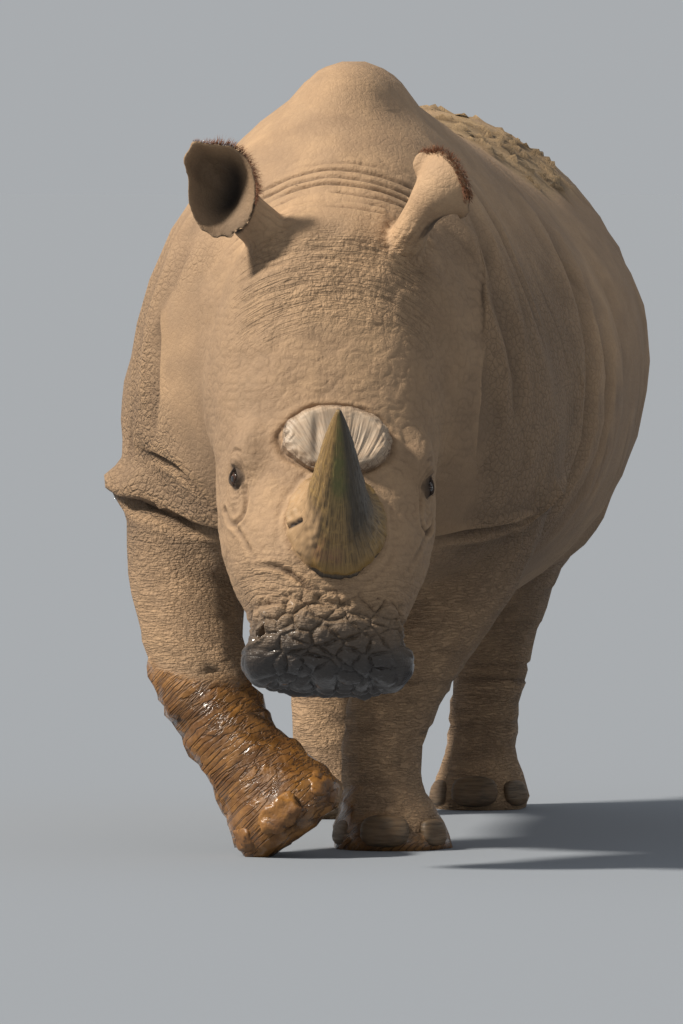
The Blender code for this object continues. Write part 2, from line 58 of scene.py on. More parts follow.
SHIFT = Vector((-0.0114, -0.3231, 0.0))  # from the places below, as first laid out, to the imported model's
EAR_NODES = ["ear_left", "ear_right"]
FURTHEST = 9.0  # more than any distance that is compared with it


def read(items, name, width, kind=np.float32):
    """One property of all items of a mesh, as an array with a row of this width for each."""
    flat = np.empty(len(items) * width, kind)
    items.foreach_get(name, flat)
    return flat.reshape(-1, width)


def coords(mesh):
    """All points of a mesh as an array of N rows."""
    return read(mesh.vertices, "co", 3).astype(float)


def set_coords(mesh, points):
    """Puts an array of N points back into a mesh."""
    mesh.vertices.foreach_set("co", np.ascontiguousarray(points, np.float32).ravel())
    mesh.update()


def normals(mesh):
    """All point normals of a mesh as an array of N rows."""
    return read(mesh.vertices, "normal", 3).astype(float)


def edges(mesh):
    """The two ends of every edge."""
    return read(mesh.edges, "vertices", 2, np.int32)


def put(name, data):
    """A new object of this name and data, in the scene."""
    obj = bpy.data.objects.new(name, data)
    bpy.context.scene.collection.objects.link(obj)
    return obj


def smoothstep(value, low, high):
    """0 below low, 1 above high, and an S-curve between: 3t^2 - 2t^3."""
    t = np.clip((value - low) / (high - low), 0, 1)
    return t * t * (3 - 2 * t)


def bell(value, width):
    """A Gaussian bump: e to the minus (value / width) squared."""
    return np.exp(-((value / width) ** 2))


def paint(red, green, blue):
    """A linear colour from the 0-255 numbers that painters mix."""
    lit = [c / 255 for c in (red, green, blue)]
    return tuple(c / 12.92 if c <= 0.04045 else ((c + 0.055) / 1.055) ** 2.4 for c in lit) + (1.0,)


# %% [markdown]
# ## Repeatable noise
# Skin is uneven at every size. Lattice noise gives soft swells, and cell noise
# gives the cobbles that cracked hide falls into. Both are worked out for all
# points at once, from counts hashed to numbers, so each run gives the same hide.

# %% Noise
POSITIVE = 500.0  # cells that every place is moved by, so that no count is below zero


def hashed(i, j, k, seed):
    """A number from 0 to 1 for each lattice place: the counts are multiplied by large odd
    numbers, mixed by shifts, and cut to 24 bits."""
    mask = np.uint64(0xFFFFFFFF)
    h = i.astype(np.uint64) * np.uint64(374761393) + j.astype(np.uint64) * np.uint64(668265263)
    h = (h + k.astype(np.uint64) * np.uint64(2147483647) + np.uint64(seed * 1274126177)) & mask
    h = ((h ^ (h >> np.uint64(13))) * np.uint64(1274126177)) & mask
    h = h ^ (h >> np.uint64(16))
    return (h & np.uint64(0xFFFFFF)).astype(float) / 0xFFFFFF


def noise(points, size, seed=0):
    """Lattice noise from -1 to 1: each corner of a cell of the given size (one number, or one
    for each axis) has a hashed value, and a point blends its eight corners by S-curves."""
    p = points / np.asarray(size, float) + POSITIVE
    base = np.floor(p)
    t = p - base
    t = t * t * (3 - 2 * t)
    base = base.astype(np.int64)
    total = np.zeros(len(points))
    for a, b, c in product((0, 1), repeat=3):
        share = np.abs(1 - a - t[:, 0]) * np.abs(1 - b - t[:, 1]) * np.abs(1 - c - t[:, 2])
        total += share * hashed(base[:, 0] + a, base[:, 1] + b, base[:, 2] + c, seed)
    return 2 * total - 1


def cells(points, size, seed=0):
    """Distance to the nearest crack between cells, in cell sizes: every lattice cell holds one
    scattered seed point, and the crack lies where the two nearest are equally far."""
    p = points / np.asarray(size, float) + POSITIVE
    base = np.floor(p).astype(np.int64)
    first = np.full(len(points), FURTHEST)
    second = first.copy()
    for step in product((-1, 0, 1), repeat=3):
        place = base + step
        i, j, k = place.T
        away = 0
        for axis in range(3):
            away = away + (place[:, axis] + hashed(i, j, k, seed + axis) - p[:, axis]) ** 2
        second = np.minimum(second, np.maximum(first, away))
        first = np.minimum(first, away)
    return np.sqrt(second) - np.sqrt(first)


# %% [markdown]
# ## The head's own axes
# Eyes, nostrils, horns and folds are placed along the face, which looks down and
# a little to the animal's left. In the head's axes x is its left, u runs from the
# crest between the ears down to the lips, and n stands out of the face.

# %% Head frame
CREST = Vector((0.075, -0.64, 1.385)) + SHIFT
HEAD = Matrix.Translation(CREST)
for degrees, axis in ((11, "Z"), (1.7, "Y"), (68, "X"), (3, "Y")):  # turn, lean, nod, and roll
    HEAD = HEAD @ Matrix.Rotation(math.radians(degrees), 4, axis)
HEAD_TURN = np.array(HEAD.to_3x3())


def to_head(points):
    """World points as x, u and n of the head."""
    local = (points - np.array(CREST)) @ HEAD_TURN
    local[:, 1] *= -1
    return local


def from_head(local):
    """Rows of x, u, n as world points."""
    local = np.array(local, float).reshape(-1, 3) * (1, -1, 1)
    return local @ HEAD_TURN.T + np.array(CREST)


def head_way(x, u, n):
    """A direction given in the head's axes, as a world unit vector."""
    way = HEAD_TURN @ np.array((x, -u, n), float)
    return way / np.linalg.norm(way)


# %% [markdown]
# ## The skin, step 1: melt the flesh into one body
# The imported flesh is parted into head, neck, trunk, legs, feet, ears and tail by
# cuts thinner than a hair, and its faces are flat for a hand's width. The copies
# are grown by two millimetres so that the cuts close, remeshed in small cells,
# and relaxed until the flats are gone. Ears and tail are thin, so they are
# relaxed less.

# %% Melt and relax
FLESH = [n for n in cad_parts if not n.startswith(("nail", "horn", "eye"))]
EYES = ["eye_left", "eye_right"]
CELL = 0.005
GROWN = 0.002
LOBES = [  # soft swellings that widen the left ear's edge: middle and half sizes
    ((0.2584, -0.640, 1.503), (0.024, 0.014, 0.032)),
    ((0.2640, -0.640, 1.455), (0.022, 0.018, 0.050)),
]


def merged_copy(name, grow=0.0):
    """A new mesh with the node's points joined, and moved out along their normals."""
    work = bmesh.new()
    work.from_mesh(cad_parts[name].data)
    bmesh.ops.remove_doubles(work, verts=work.verts, dist=1e-5)
    mesh = bpy.data.meshes.new(name + "_copy")
    work.to_mesh(mesh)
    work.free()
    set_coords(mesh, coords(mesh) + grow * normals(mesh))
    return mesh


def applied(obj):
    """The object's mesh with its modifiers worked out; the object itself goes."""
    bpy.context.view_layer.update()
    graph = bpy.context.evaluated_depsgraph_get()
    mesh = bpy.data.meshes.new_from_object(obj.evaluated_get(graph))
    bpy.data.objects.remove(obj)
    return mesh


def melted(names, cell):
    """One closed mesh round all the named nodes and the soft swellings."""
    pile = bmesh.new()
    for middle, half in LOBES:
        ball = Matrix.Translation(Vector(middle) + SHIFT) @ Matrix.Diagonal((*half, 1))
        bmesh.ops.create_icosphere(pile, subdivisions=3, radius=1, matrix=ball)
    for name in names:
        pile.from_mesh(merged_copy(name, GROWN))
    mesh = bpy.data.meshes.new("pile")
    pile.to_mesh(mesh)
    pile.free()
    obj = put("pile", mesh)
    remesh = obj.modifiers.new("melt", "REMESH")
    remesh.mode = "VOXEL"
    remesh.voxel_size = cell
    return applied(obj)


def neighbour_mean(values, ends, count):
    """For each point the mean of the values at the other ends of its edges."""
    total = np.zeros_like(values)
    for column in range(values.shape[1]):
        one = np.bincount(ends[:, 0], values[ends[:, 1], column], len(values))
        total[:, column] = one + np.bincount(ends[:, 1], values[ends[:, 0], column], len(values))
    return total / count[:, None]


def relax(values, ends, rounds, weight):
    """Moves each value towards its neighbours' mean by weight, again and again."""
    count = np.maximum(np.bincount(ends.ravel(), minlength=len(values)), 1)
    for _ in range(rounds):
        values = values + weight * (neighbour_mean(values, ends, count) - values)
    return values


def near_nodes(points, names, reach):
    """1 inside the boxes of the named nodes, falling to 0 at the given reach outside them."""
    found = np.zeros(len(points))
    for name in names:
        low, high = (np.array(c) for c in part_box(name))
        outside = np.linalg.norm(np.maximum(0, np.maximum(low - points, points - high)), axis=1)
        found = np.maximum(found, 1 - smoothstep(outside, 0, reach))
    return found


body = melted(FLESH + EYES, CELL)
place = coords(body)
thin = near_nodes(place, EAR_NODES + ["tail"], 0.03)
print("melted:", len(place), "points")
ROUNDS = int(90 * (0.005 / CELL) ** 2)  # coarser cells reach as far in fewer rounds
soft = 0.5 * (1 - 0.93 * thin)
ends = edges(body)
relaxed = relax(place, ends, ROUNDS, soft[:, None])
# Relaxing also shrinks the body: the broad part of what it moved is put back.
lost = relax(place - relaxed, ends, ROUNDS // 3, 0.5)
set_coords(body, relaxed + lost)
print("relaxed", ROUNDS, "rounds")

# %% [markdown]
# ## The skin, step 2: finer faces where the detail is
# The head carries folds, lids and nostrils that need small faces, and a flank
# does not. Faces on the head are cut in four, and those round the eyes, nostrils
# and mouth once more.

# %% Refine
EYE_SEAT = {"right": (-0.197, 0.575, -0.078), "left": (0.197, 0.575, -0.078)}
NOSTRIL = {"right": (-0.149, 0.925, -0.058), "left": (0.149, 0.925, -0.058)}


def refine(mesh, wanted):
    """Cuts in four the faces whose points are wanted."""
    work = bmesh.new()
    work.from_mesh(mesh)
    chosen = [e for e in work.edges if wanted[e.verts[0].index] and wanted[e.verts[1].index]]
    bmesh.ops.subdivide_edges(work, edges=chosen, cuts=1, use_grid_fill=True)
    work.to_mesh(mesh)
    work.free()


def face_zone(points):
    """True on the face from the nape to the lips."""
    x, u, n = to_head(points).T
    return (n > -0.30) & (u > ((-0.20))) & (np.abs(x) < 0.30)


def fine_zone(points):
    """True round eyes and nostrils, and on the muzzle."""
    local = to_head(points)
    x, u, n = local.T
    found = (u > 0.86) & (n > -0.24) & (np.abs(x) < 0.3) & (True)
    for seats, reach in ((EYE_SEAT, 0.075), (NOSTRIL, 0.05)):
        for seat in seats.values():
            found |= np.linalg.norm(local - seat, axis=1) < reach
    return found


refine(body, face_zone(coords(body)))
refine(body, fine_zone(coords(body)))
print("refined:", len(body.vertices), "points")

# %% [markdown]
# ## The skin, step 3: folds and wrinkles
# Every fold is a height added along the skin's normal, in metres. A groove follows
# a short path, with raised banks on both sides. Rings and arcs are noise stretched
# along the way the skin creases, and cobbles are cell noise.

# %% Folds
def path_distance(points, path):
    """Distance from each point to a chain of straight pieces."""
    path = np.array(path, float)
    best = np.full(len(points), FURTHEST)
    for a, b in zip(path[:-1], path[1:]):
        along = np.clip((points - a) @ (b - a) / ((b - a) @ (b - a)), 0, 1)
        best = np.minimum(best, np.linalg.norm(points - a - along[:, None] * (b - a), axis=1))
    return best


def groove(points, path, width, depth, bank=0.35):
    """A sunk line: minus a bell of the distance, plus a low bell on each side of it."""
    away = path_distance(points, path)
    return depth * (bank * bell(away - 2.1 * width, width) - bell(away, width))


def ledge(points, path, width, rise):
    """An overhanging fold: out by the rise just above the path and in by it just below."""
    away = path_distance(points, path)
    path = np.array(path, float)
    order = np.argsort(path[:, 0])
    line = np.interp(points[:, 0], path[order, 0], path[order, 2])
    return rise * bell(away, width) * np.clip((points[:, 2] - line) / (0.12 * width), -1, 1)


def mirrored(path):
    """The same path on the other side of the face."""
    return [(-x, u, n) for x, u, n in path]


def spindle(path, steps=6):
    """A smooth curve through the path's points: Catmull-Rom pieces, each cut into steps."""
    p = np.array(path, float)
    p = np.vstack([2 * p[0] - p[1], p, 2 * p[-1] - p[-2]])
    t = np.linspace(0, 1, steps, endpoint=False)[:, None]
    made = []
    for a, b, c, d in zip(p[:-3], p[1:-2], p[2:-1], p[3:]):
        bend = (2 * a - 5 * b + 4 * c - d) * t**2
        made.append(0.5 * (2 * b + (c - a) * t + bend + (3 * b - a - 3 * c + d) * t**3))
    return np.vstack(made + [p[-2:-1]])


def ridged(value):
    """Noise turned to sharp valleys: low where it crosses zero, level away from it, about zero on
    the whole, so that a patch of it neither sinks nor swells."""
    return np.minimum(np.abs(value) * 2.6, 1) - 0.72


def stretched(across, size, length, seed):
    """Noise whose lines run square to the given distance: cells are size across and length along."""
    sway = 0.35 * size * noise(points, length * 0.6, seed + 7)
    where = np.column_stack([(across + sway) / size, (wx + wy) / length, (wz - wx) / length])
    return noise(where, 1.0, seed)


# %% Where the folds go
LEGS = ["foreleg_left", "foreleg_right", "hindleg_left", "hindleg_right"]
FEET_NODES = ["forefoot_left", "forefoot_right", "hindfoot_left", "hindfoot_right"]
ARC_MIDDLE = (0.0, 0.52, -0.10)  # a place below the brow: the forehead's arcs run round it


def head_mask(X, U, N):
    """1 on the head in front of the neck, by the head's own axes."""
    return smoothstep(N, -0.55, -0.45) * smoothstep(U, -0.02, 0.05) * (np.abs(X) < 0.34)


def arc_of(points):
    """Distance from the middle of the forehead's arcs."""
    return np.linalg.norm(points - from_head(ARC_MIDDLE)[0], axis=1)


def brow_mask(arc, X, N, share=1):
    """1 on the brow, where the arcs lie, times a share given for each point."""
    by_arc = smoothstep(arc, 0.26, 0.36) * (1 - smoothstep(arc, 0.46, 0.55))
    return by_arc * smoothstep(N, -0.24, -0.08) * share * (1 - smoothstep(np.abs(X), 0.17, 0.25))


points, outward = coords(body), normals(body)
head = to_head(points)
X, U, N = head.T
wx, wy, wz = points.T
on_head = head_mask(X, U, N)
on_ear = near_nodes(points, EAR_NODES, 0.02)
on_tail = near_nodes(points, ["tail"], 0.02)
on_leg = near_nodes(points, LEGS + FEET_NODES, 0.10) * (1 - on_head)
plain = (1 - on_head) * (1 - on_ear) * (1 - on_tail)
arc = arc_of(points)
over_brow = brow_mask(arc, X, N, 1 - on_ear)
print("points on the head:", int((on_head > 0.5).sum()), "on the legs:", int((on_leg > 0.5).sum()))

# %% Arcs, rings and drapes
NAPE_LINES = (  # distance from the arcs' middle, and share of the full depth
    (0.572, 0.6), (0.594, 1.0), (0.616, 0.7), (0.641, 1.0), (0.660, 0.8), (0.683, 0.9), (0.704, 0.5)
)
NAPE_DEPTH, NAPE_WIDTH = 0.0075, 0.0040
RING_DEPTH = 0.0035
height = np.zeros(len(points))

# Arcs over the forehead, and deeper lines over the nape.
nape = (1 - on_ear) * smoothstep(N, -0.35, -0.20) * (1 - smoothstep(np.abs(X), 0.16, 0.25))
height += 0.0024 * ridged(stretched(arc, 0.030, 0.50, 11)) * over_brow
height += 0.0018 * ridged(stretched(arc, 0.016, 0.25, 12)) * over_brow * smoothstep(arc, 0.26, 0.36)
arc_sway = arc + 0.006 * noise(points, 0.12, 14)
for near, depth in NAPE_LINES:
    broken = smoothstep(noise(points, 0.09, int(near * 1000)), -0.7, 0.1)
    height -= NAPE_DEPTH * depth * nape * broken * bell(arc_sway - near, NAPE_WIDTH)

# Rings round the legs, deepest over the wrists and ankles.
ringed = on_leg * (1 - smoothstep(wz, 0.50, 0.78))
height += RING_DEPTH * ridged(stretched(wz, 0.035, 0.28, 21)) * ringed
narrow = RING_DEPTH * ridged(stretched(wz, 0.017, 0.10, 22)) * ringed
height += narrow * (1 - 0.6 * smoothstep(wz, 0.35, 0.5))

# Long soft drapes down the neck and flanks.
drape = plain * (1 - on_leg) * smoothstep(wz, 0.55, 0.8)
height += 0.0080 * stretched(wy + 0.25 * wz, 0.11, 0.60, 31) * drape * smoothstep(1.62 - wz, 0, 0.2)
height += 0.0030 * ridged(stretched(wy + 0.35 * wz, 0.06, 0.35, 32)) * drape
print("arcs, rings and drapes from", height.min().round(4), "to", height.max().round(4))

# %% [markdown]
# ## The face
# Under the horn the hide hangs in a fold from cheek to cheek, the muzzle is
# cracked into cobbles, and a rim of skin climbs round the horn and round the sawn
# plate. All are placed in the head's axes, on both sides where the real head has
# both. The folds of shoulders and flanks are placed in the world's axes.

# %% Folds of the face and shoulders
HORN_SEAT, PLATE_SEAT = 0.712, 0.508
PLATE_HALF = (0.118, 0.076)
FACE_FOLDS = [  # path in x, u, n; width; depth; on both sides
    # Under the horn, from cheek to cheek.
    ([(-0.160, 0.785, -0.040), (-0.122, 0.800, 0.0), (-0.085, 0.822, 0.005), (-0.050, 0.852, 0.006),
      (-0.015, 0.874, 0.004), (0.030, 0.878, 0.0)], 0.0060, 0.010, False),
    ([(-0.120, 0.880, -0.030), (-0.060, 0.902, -0.006), (0.0, 0.912, -0.004), (0.070, 0.900, -0.010)],
     0.004, 0.005, False),
    # Bags under the eyes.
    ([(0.224, 0.630, -0.122), (0.218, 0.662, -0.105), (0.207, 0.676, -0.082), (0.194, 0.668, -0.060),
      (0.188, 0.640, -0.052), (0.190, 0.605, -0.056)], 0.0060, 0.0085, True),
    ([(0.216, 0.615, -0.105), (0.211, 0.640, -0.094), (0.204, 0.652, -0.082)], 0.0050, 0.003, True),
    # From the bags down to the nostrils, and over those.
    ([(0.206, 0.685, -0.078), (0.192, 0.712, -0.060), (0.180, 0.742, -0.048), (0.160, 0.775, -0.036)],
     0.0065, 0.0050, True),
    ([(0.160, 0.850, -0.040), (0.130, 0.862, -0.022), (0.095, 0.858, -0.004)], 0.004, 0.005, True),
    # The mouth's line, and the jaw's.
    ([(0.150, 0.860, -0.190), (0.186, 0.930, -0.185), (0.166, 0.992, -0.178), (0.090, 1.022, -0.172),
      (0.0, 1.030, -0.168)], 0.0075, 0.016, True),
    ([(0.140, 0.470, -0.300), (0.215, 0.520, -0.200), (0.225, 0.600, -0.170), (0.215, 0.700, -0.160)],
     0.010, 0.007, True),
]
BODY_FOLDS = [  # path in world metres; width; depth
    ([(-0.515, -0.43, 0.790), (-0.479, -0.508, 0.768), (-0.406, -0.579, 0.752), (-0.335, -0.611, 0.727),
      (-0.272, -0.657, 0.712), (-0.21, -0.70, 0.700)], 0.013, 0.026),
    ([(-0.43, -0.57, 0.885), (-0.401, -0.614, 0.869), (-0.321, -0.701, 0.839), (-0.273, -0.722, 0.796),
      (-0.249, -0.722, 0.764)], 0.009, 0.016),
    ([(0.250, -0.68, 0.700), (0.306, -0.632, 0.703), (0.360, -0.537, 0.711), (0.409, -0.397, 0.735),
      (0.457, -0.338, 0.766), (0.50, -0.24, 0.80)], 0.013, 0.026),
]
SIDE_FOLDS = [  # path in y and z, on both sides of the body; width; depth
    ([(-0.14, 0.66), (-0.10, 0.85), (-0.06, 1.05), (-0.02, 1.25), (0.03, 1.42)], 0.030, 0.014),
    ([(-0.02, 0.62), (0.06, 0.80), (0.09, 1.00), (0.10, 1.18)], 0.024, 0.009),
    ([(0.62, 0.60), (0.70, 0.74), (0.74, 0.90), (0.76, 1.08), (0.80, 1.24)], 0.030, 0.015),
    ([(0.76, 0.56), (0.86, 0.66), (0.98, 0.72), (1.12, 0.74)], 0.022, 0.010),
    ([(-0.62, 1.50), (-0.66, 1.32), (-0.68, 1.14), (-0.66, 0.98), (-0.60, 0.86)], 0.026, 0.013),
    ([(-0.48, 1.56), (-0.50, 1.38), (-0.50, 1.20), (-0.47, 1.04)], 0.022, 0.008),
    ([(1.22, 1.30), (1.30, 1.12), (1.33, 0.94), (1.30, 0.78)], 0.026, 0.009),
]


def tapered(points, path, length):
    """1 along a path, falling to 0 over the given length at each of its ends."""
    first, last = (np.linalg.norm(points - path[end], axis=1) for end in (0, -1))
    return smoothstep(np.minimum(first, last), 0, length)


for path, width, depth, both in FACE_FOLDS:
    for way in (path, mirrored(path)) if both else (path,):
        curve = from_head(spindle(way))
        close = np.abs(points - curve.mean(0)).max(1) < 0.25
        broken = 0.8 + 0.5 * noise(points[close], 0.03, 45)
        height[close] += groove(points[close], curve, width, depth) * broken
for path, width, depth in BODY_FOLDS:
    curve = spindle(path)
    close = np.abs(points - curve.mean(0)).max(1) < 0.45
    height[close] += groove(points[close], curve, width, depth) * tapered(points[close], curve, 0.07)
    height[close] += ledge(points[close], curve, 4 * width, 0.30 * depth)

beside = plain * smoothstep(np.abs(wx), 0.12, 0.22)
flat = np.column_stack([0 * wx, wy + 0.02 * noise(points, 0.15, 46), wz])
for path, width, depth in SIDE_FOLDS:
    curve = spindle([(0, y, z) for y, z in path])
    close = (beside > 0) & (np.abs(flat - curve.mean(0)).max(1) < 0.55)
    height[close] += (beside * tapered(flat, curve, 0.20))[close] * groove(flat[close], curve, width, depth, 0.5)

# %% Rims and cobbles of the face
# A rim of skin round the horn's foot, and another round the sawn plate.
HORN_REACH = 0.106  # half the width of the horn's foot
ripple = 0.004 * noise(points, 0.03, 41)
horn_off = np.hypot(X, (U - HORN_SEAT) / 1.10) - HORN_REACH + ripple
plate_off = (np.hypot(X / PLATE_HALF[0], (U - PLATE_SEAT) / PLATE_HALF[1]) - 1) * 0.09 + ripple
front = smoothstep(N, -0.10, -0.03) * on_head
uneven = 0.5 + 0.5 * noise(points, 0.05, 42)
height += front * (0.0045 * bell(horn_off - 0.008, 0.008) - 0.0030 * bell(horn_off - 0.022, 0.006)) * uneven
height += front * (0.004 * bell(plate_off - 0.016, 0.008) * uneven - 0.005 * bell(plate_off - 0.003, 0.005))

# Blocks on the muzzle with deep cracks between them, and cobbles on each block.
BLOCK, COBBLE_SIZE = (0.050, 0.038, 0.10), (0.017, 0.015, 0.03)
muzzle = smoothstep(U, 0.835, 0.880) * smoothstep(N, -0.25, -0.19) * on_head
lobe = bell(np.abs(X) - 0.158, 0.030) * smoothstep(U, 0.925, 0.950)
sway = np.column_stack([noise(head, 0.05, s) for s in (51, 52, 53)]) * 0.010
crack = cells(head + sway, BLOCK, 54)
small_crack = cells(head + sway, COBBLE_SIZE, 57)
blocks = muzzle * (1 - 0.85 * lobe) * (1 - 0.55 * smoothstep(-N, 0.13, 0.20))
height += blocks * (0.0130 * np.minimum(crack / 0.45, 1) ** 0.5 - 0.0100)
height += blocks * 0.0020 * (np.minimum(small_crack / 0.4, 1) - 0.6)
# The lips' lobes on both sides, and a swelling between the nostrils.
height += 0.017 * lobe * bell(N + 0.125, 0.055) * muzzle
height += 0.012 * bell(U - 0.93, 0.035) * bell(N + 0.01, 0.04) * bell(X, 0.10) * on_head * 0.5

# Faint uneven swells over the whole face.
height += on_head * (1 - muzzle) * 0.0025 * noise(points, 0.045, 61)
height += on_head * (1 - muzzle) * 0.0012 * ridged(noise(points, 0.018, 62))
print("with the folds:", height.min().round(4), "to", height.max().round(4))

# %% [markdown]
# ## Ears, feet and mud
# The stalk of an ear creases lengthwise. Wet clay coats the stepping foot from the
# wrist down: a layer a few millimetres thick with a ragged upper edge, creased
# across the foot and lumpy at the toes. Dried clay lies in crumbs on the back.

# %% Ears
EARS = {  # middle of the opening, and root of the stalk
    "right": (Vector((-0.165, -0.72, 1.445)), Vector((-0.05, -0.58, 1.32))),
    "left": (Vector((0.320, -0.65, 1.460)), Vector((0.205, -0.555, 1.318))),
}


def axes_of(inward, tall):
    """The turn that brings Y to inward and Z as near as it can to tall."""
    inward = Vector(inward).normalized()
    across = inward.cross(Vector(tall)).normalized()
    return Matrix((across, inward, across.cross(inward))).transposed()


EAR_TURN = {  # the opening's own axes: mirrored on the right, and squeezed on the left
    "right": Matrix.Rotation(math.radians(8), 3, "Z") @ Matrix.Diagonal((-1, 1, 1)),
    "left": axes_of((-0.75, -0.58, -0.32), (-0.15, 0.0, 0.95)) @ Matrix.Diagonal((1, 1, 0.78)),
}
CUP_HALF = (0.077, 0.106)  # half the opening's width and height


def ear_rim(angle):
    """Reach of the opening's rim at an angle: an oval with a bell at 52 degrees for the tip."""
    oval = 1 / np.sqrt((np.cos(angle) / CUP_HALF[0]) ** 2 + (np.sin(angle) / CUP_HALF[1]) ** 2)
    return oval + 0.043 * bell(angle - math.radians(52), 0.30)


def ear_local(points, side):
    """Points in an ear's own axes: x and z across the opening, y into the cup."""
    middle = np.array(EARS[side][0] + SHIFT)
    return (points - middle) @ np.array(EAR_TURN[side])


for side, (middle, root) in EARS.items():
    stem = np.array((middle - root).normalized())
    start = points - np.array(root + SHIFT)
    along = start @ stem
    beside = np.linalg.norm(start - along[:, None] * stem, axis=1)
    stalk = smoothstep(along, -0.03, 0.03) * (1 - smoothstep(along, 0.10, 0.17))
    stalk = stalk * (1 - smoothstep(beside, 0.07, 0.11))
    across = start - 0.88 * along[:, None] * stem
    height += 0.0016 * stalk * ridged(noise(across, 0.014, 71))


WRIST = 0.385  # height of the wet clay's upper edge on the stepping foot


def mud_of(points):
    """Wet clay: 1 below a ragged line round the stepping foot's wrist, and 0.9 on the standing
    forefoot below another, a few centimetres up."""
    x, y, z = points.T
    stepping = (x < 0.03) & (y < -0.42)
    ragged = 0.020 * noise(points, 0.06, 81) + 0.010 * noise(points, 0.02, 82)
    line = WRIST - 0.10 * (x + 0.29) + ragged
    mud = np.where(stepping, 1 - smoothstep(z, line - 0.004, line + 0.004), 0.0)
    toes = 0.055 + 2.0 * ragged
    standing = np.where(~stepping & (y < 0), 1 - smoothstep(z, toes - 0.02, toes + 0.02), 0.0)
    return np.maximum(mud, 0.9 * standing)


def crust_of(points):
    """Dried clay: crumbs on the back behind the hump and a few on the hump's face."""
    x, y, z = points.T
    back = smoothstep(y, 0.10, 0.45) * smoothstep(z, 1.36, 1.50) * smoothstep(x + 0.20, 0.0, 0.15)
    hump = 0.45 * bell(z - 1.62, 0.05) * bell(x - 0.02, 0.10) * (y < -0.2)
    patches = noise(points, (0.16, 0.30, 0.16), 91) * 0.5 + 0.35 * noise(points, 0.07, 92)
    return smoothstep(np.maximum(back, hump) * (0.78 + patches), 0.42, 0.60)


# %% Clay on the skin
FOOT_WAY = np.array((0.59, -0.16, -0.79))  # from the stepping foot's wrist to its toes
mud, crust = mud_of(points), crust_of(points)
on_right_foot = mud * (wx < 0.03)
height += 0.004 * mud
toe_end = smoothstep(0.20 - wz, 0, 0.12) * on_right_foot
down_foot = points @ FOOT_WAY
height += on_right_foot * (1 - toe_end) * 0.0060 * ridged(stretched(down_foot, 0.042, 0.25, 85))
height += on_right_foot * 0.0035 * ridged(stretched(down_foot, 0.020, 0.12, 86))
height += on_right_foot * 0.0040 * noise(points, 0.035, 83) + toe_end * 0.0060 * noise(points, 0.020, 84)
crumb = np.minimum(cells(points, 0.026, 93) / 0.35, 1) * smoothstep(noise(points, 0.03, 96), -0.2, 0.3)
height += crust * 0.011 * crumb
height += plain * 0.0015 * ridged(noise(points, 0.035, 97))
height -= GROWN
print("points in wet clay:", int((mud > 0.5).sum()), "in dried clay:", int((crust > 0.5).sum()))

# %% [markdown]
# ## Lids, nostrils and soles
# A lid is skin drawn over a ball, so here the height isn't added but set: outside
# the almond-shaped opening the skin follows a sphere a little larger than the
# eyeball, and inside it drops behind the ball. Creases ring it. A nostril is a
# comma-shaped pit with a raised rim. Soles end flat on the floor.

# %% Lids
EYE_RADIUS, LID = 0.0205, 0.0034  # the ball, and the lid's thickness over it
HALF_LONG, HALF_HIGH = 0.0202, 0.0135  # the opening between the lids
moved = points + height[:, None] * outward


def outward_axes(out, along):
    """The two ways given, the second turned square to the first and made a unit long."""
    along = along - (along @ out) * out
    return out, along / np.linalg.norm(along)


def side_sign(side):
    return -1 if side == "right" else 1


def eye_axes(side):
    """Centre of an eye, and the ways out of the head, down the face along the lids, and up."""
    sign = side_sign(side)
    out, along = outward_axes(head_way(0.88 * sign, 0.0, 0.47), head_way(0.10 * sign, 1.0, -0.22))
    up = np.cross(out, along) * (-sign)
    return from_head(EYE_SEAT[side])[0] - 0.0005 * out, out, along, up


def almond_of(a, b):
    """Under 1 inside the opening: |b| in half heights plus the square of a in half lengths."""
    return np.abs(b - 0.001) / HALF_HIGH + (a / HALF_LONG) ** 2


for side in EYE_SEAT:
    centre, out, along, up = eye_axes(side)
    close = np.linalg.norm(moved - centre, axis=1) < 0.09
    part = moved[close] - centre
    a, b, h = part @ along, part @ up, part @ out
    rho = np.hypot(a, b)
    # Skin over the ball: the lid's sphere in the middle, blended into a lowered surround.
    sphere = np.sqrt(np.maximum((EYE_RADIUS + LID) ** 2 - rho**2, 0))
    hollow = h - 0.004 * bell(rho, 0.030)
    lid = np.where(rho < EYE_RADIUS + LID, np.maximum(sphere, 0.006), 0)
    blend = 1 - smoothstep(rho, 0.016, 0.026)
    drawn = hollow * (1 - blend) + np.maximum(lid, 0.007) * blend
    # The opening, with a raised edge: inside it the skin lies behind the ball's front.
    almond = almond_of(a, b)
    opening = 1 - smoothstep(almond, 0.85, 1.05)
    drawn = drawn + 0.0022 * bell(almond - 1.35, 0.28) * (rho < 0.024)
    drawn = drawn * (1 - opening) + (np.sqrt(np.maximum(EYE_RADIUS**2 - rho**2, 0)) - 0.007) * opening
    # Creases in rings a centimetre apart. Towards the brow a swelling ends in a crease, and
    # towards the muzzle hangs a bag.
    ring = np.hypot(a / 1.35, b)
    fold = np.cos(2 * math.pi * (ring - 0.0215) / 0.0095 + 1.3 * noise(moved[close], 0.02, 101))
    fade = smoothstep(ring, 0.016, 0.021) * (1 - smoothstep(ring, 0.034, 0.060))
    drawn += 0.0013 * fade * fold
    drawn += 0.0095 * bell(a + 0.030, 0.013) * bell(b - 0.003, 0.018)
    drawn -= 0.0060 * bell(a + 0.057 - 5 * b**2, 0.0050) * bell(b - 0.004, 0.022)
    drawn += 0.0040 * bell(a - 0.048, 0.022) * bell(b + 0.002, 0.016)
    share = 1 - smoothstep(rho, 0.060, 0.085)
    moved[close] += (share * (drawn - h))[:, None] * out

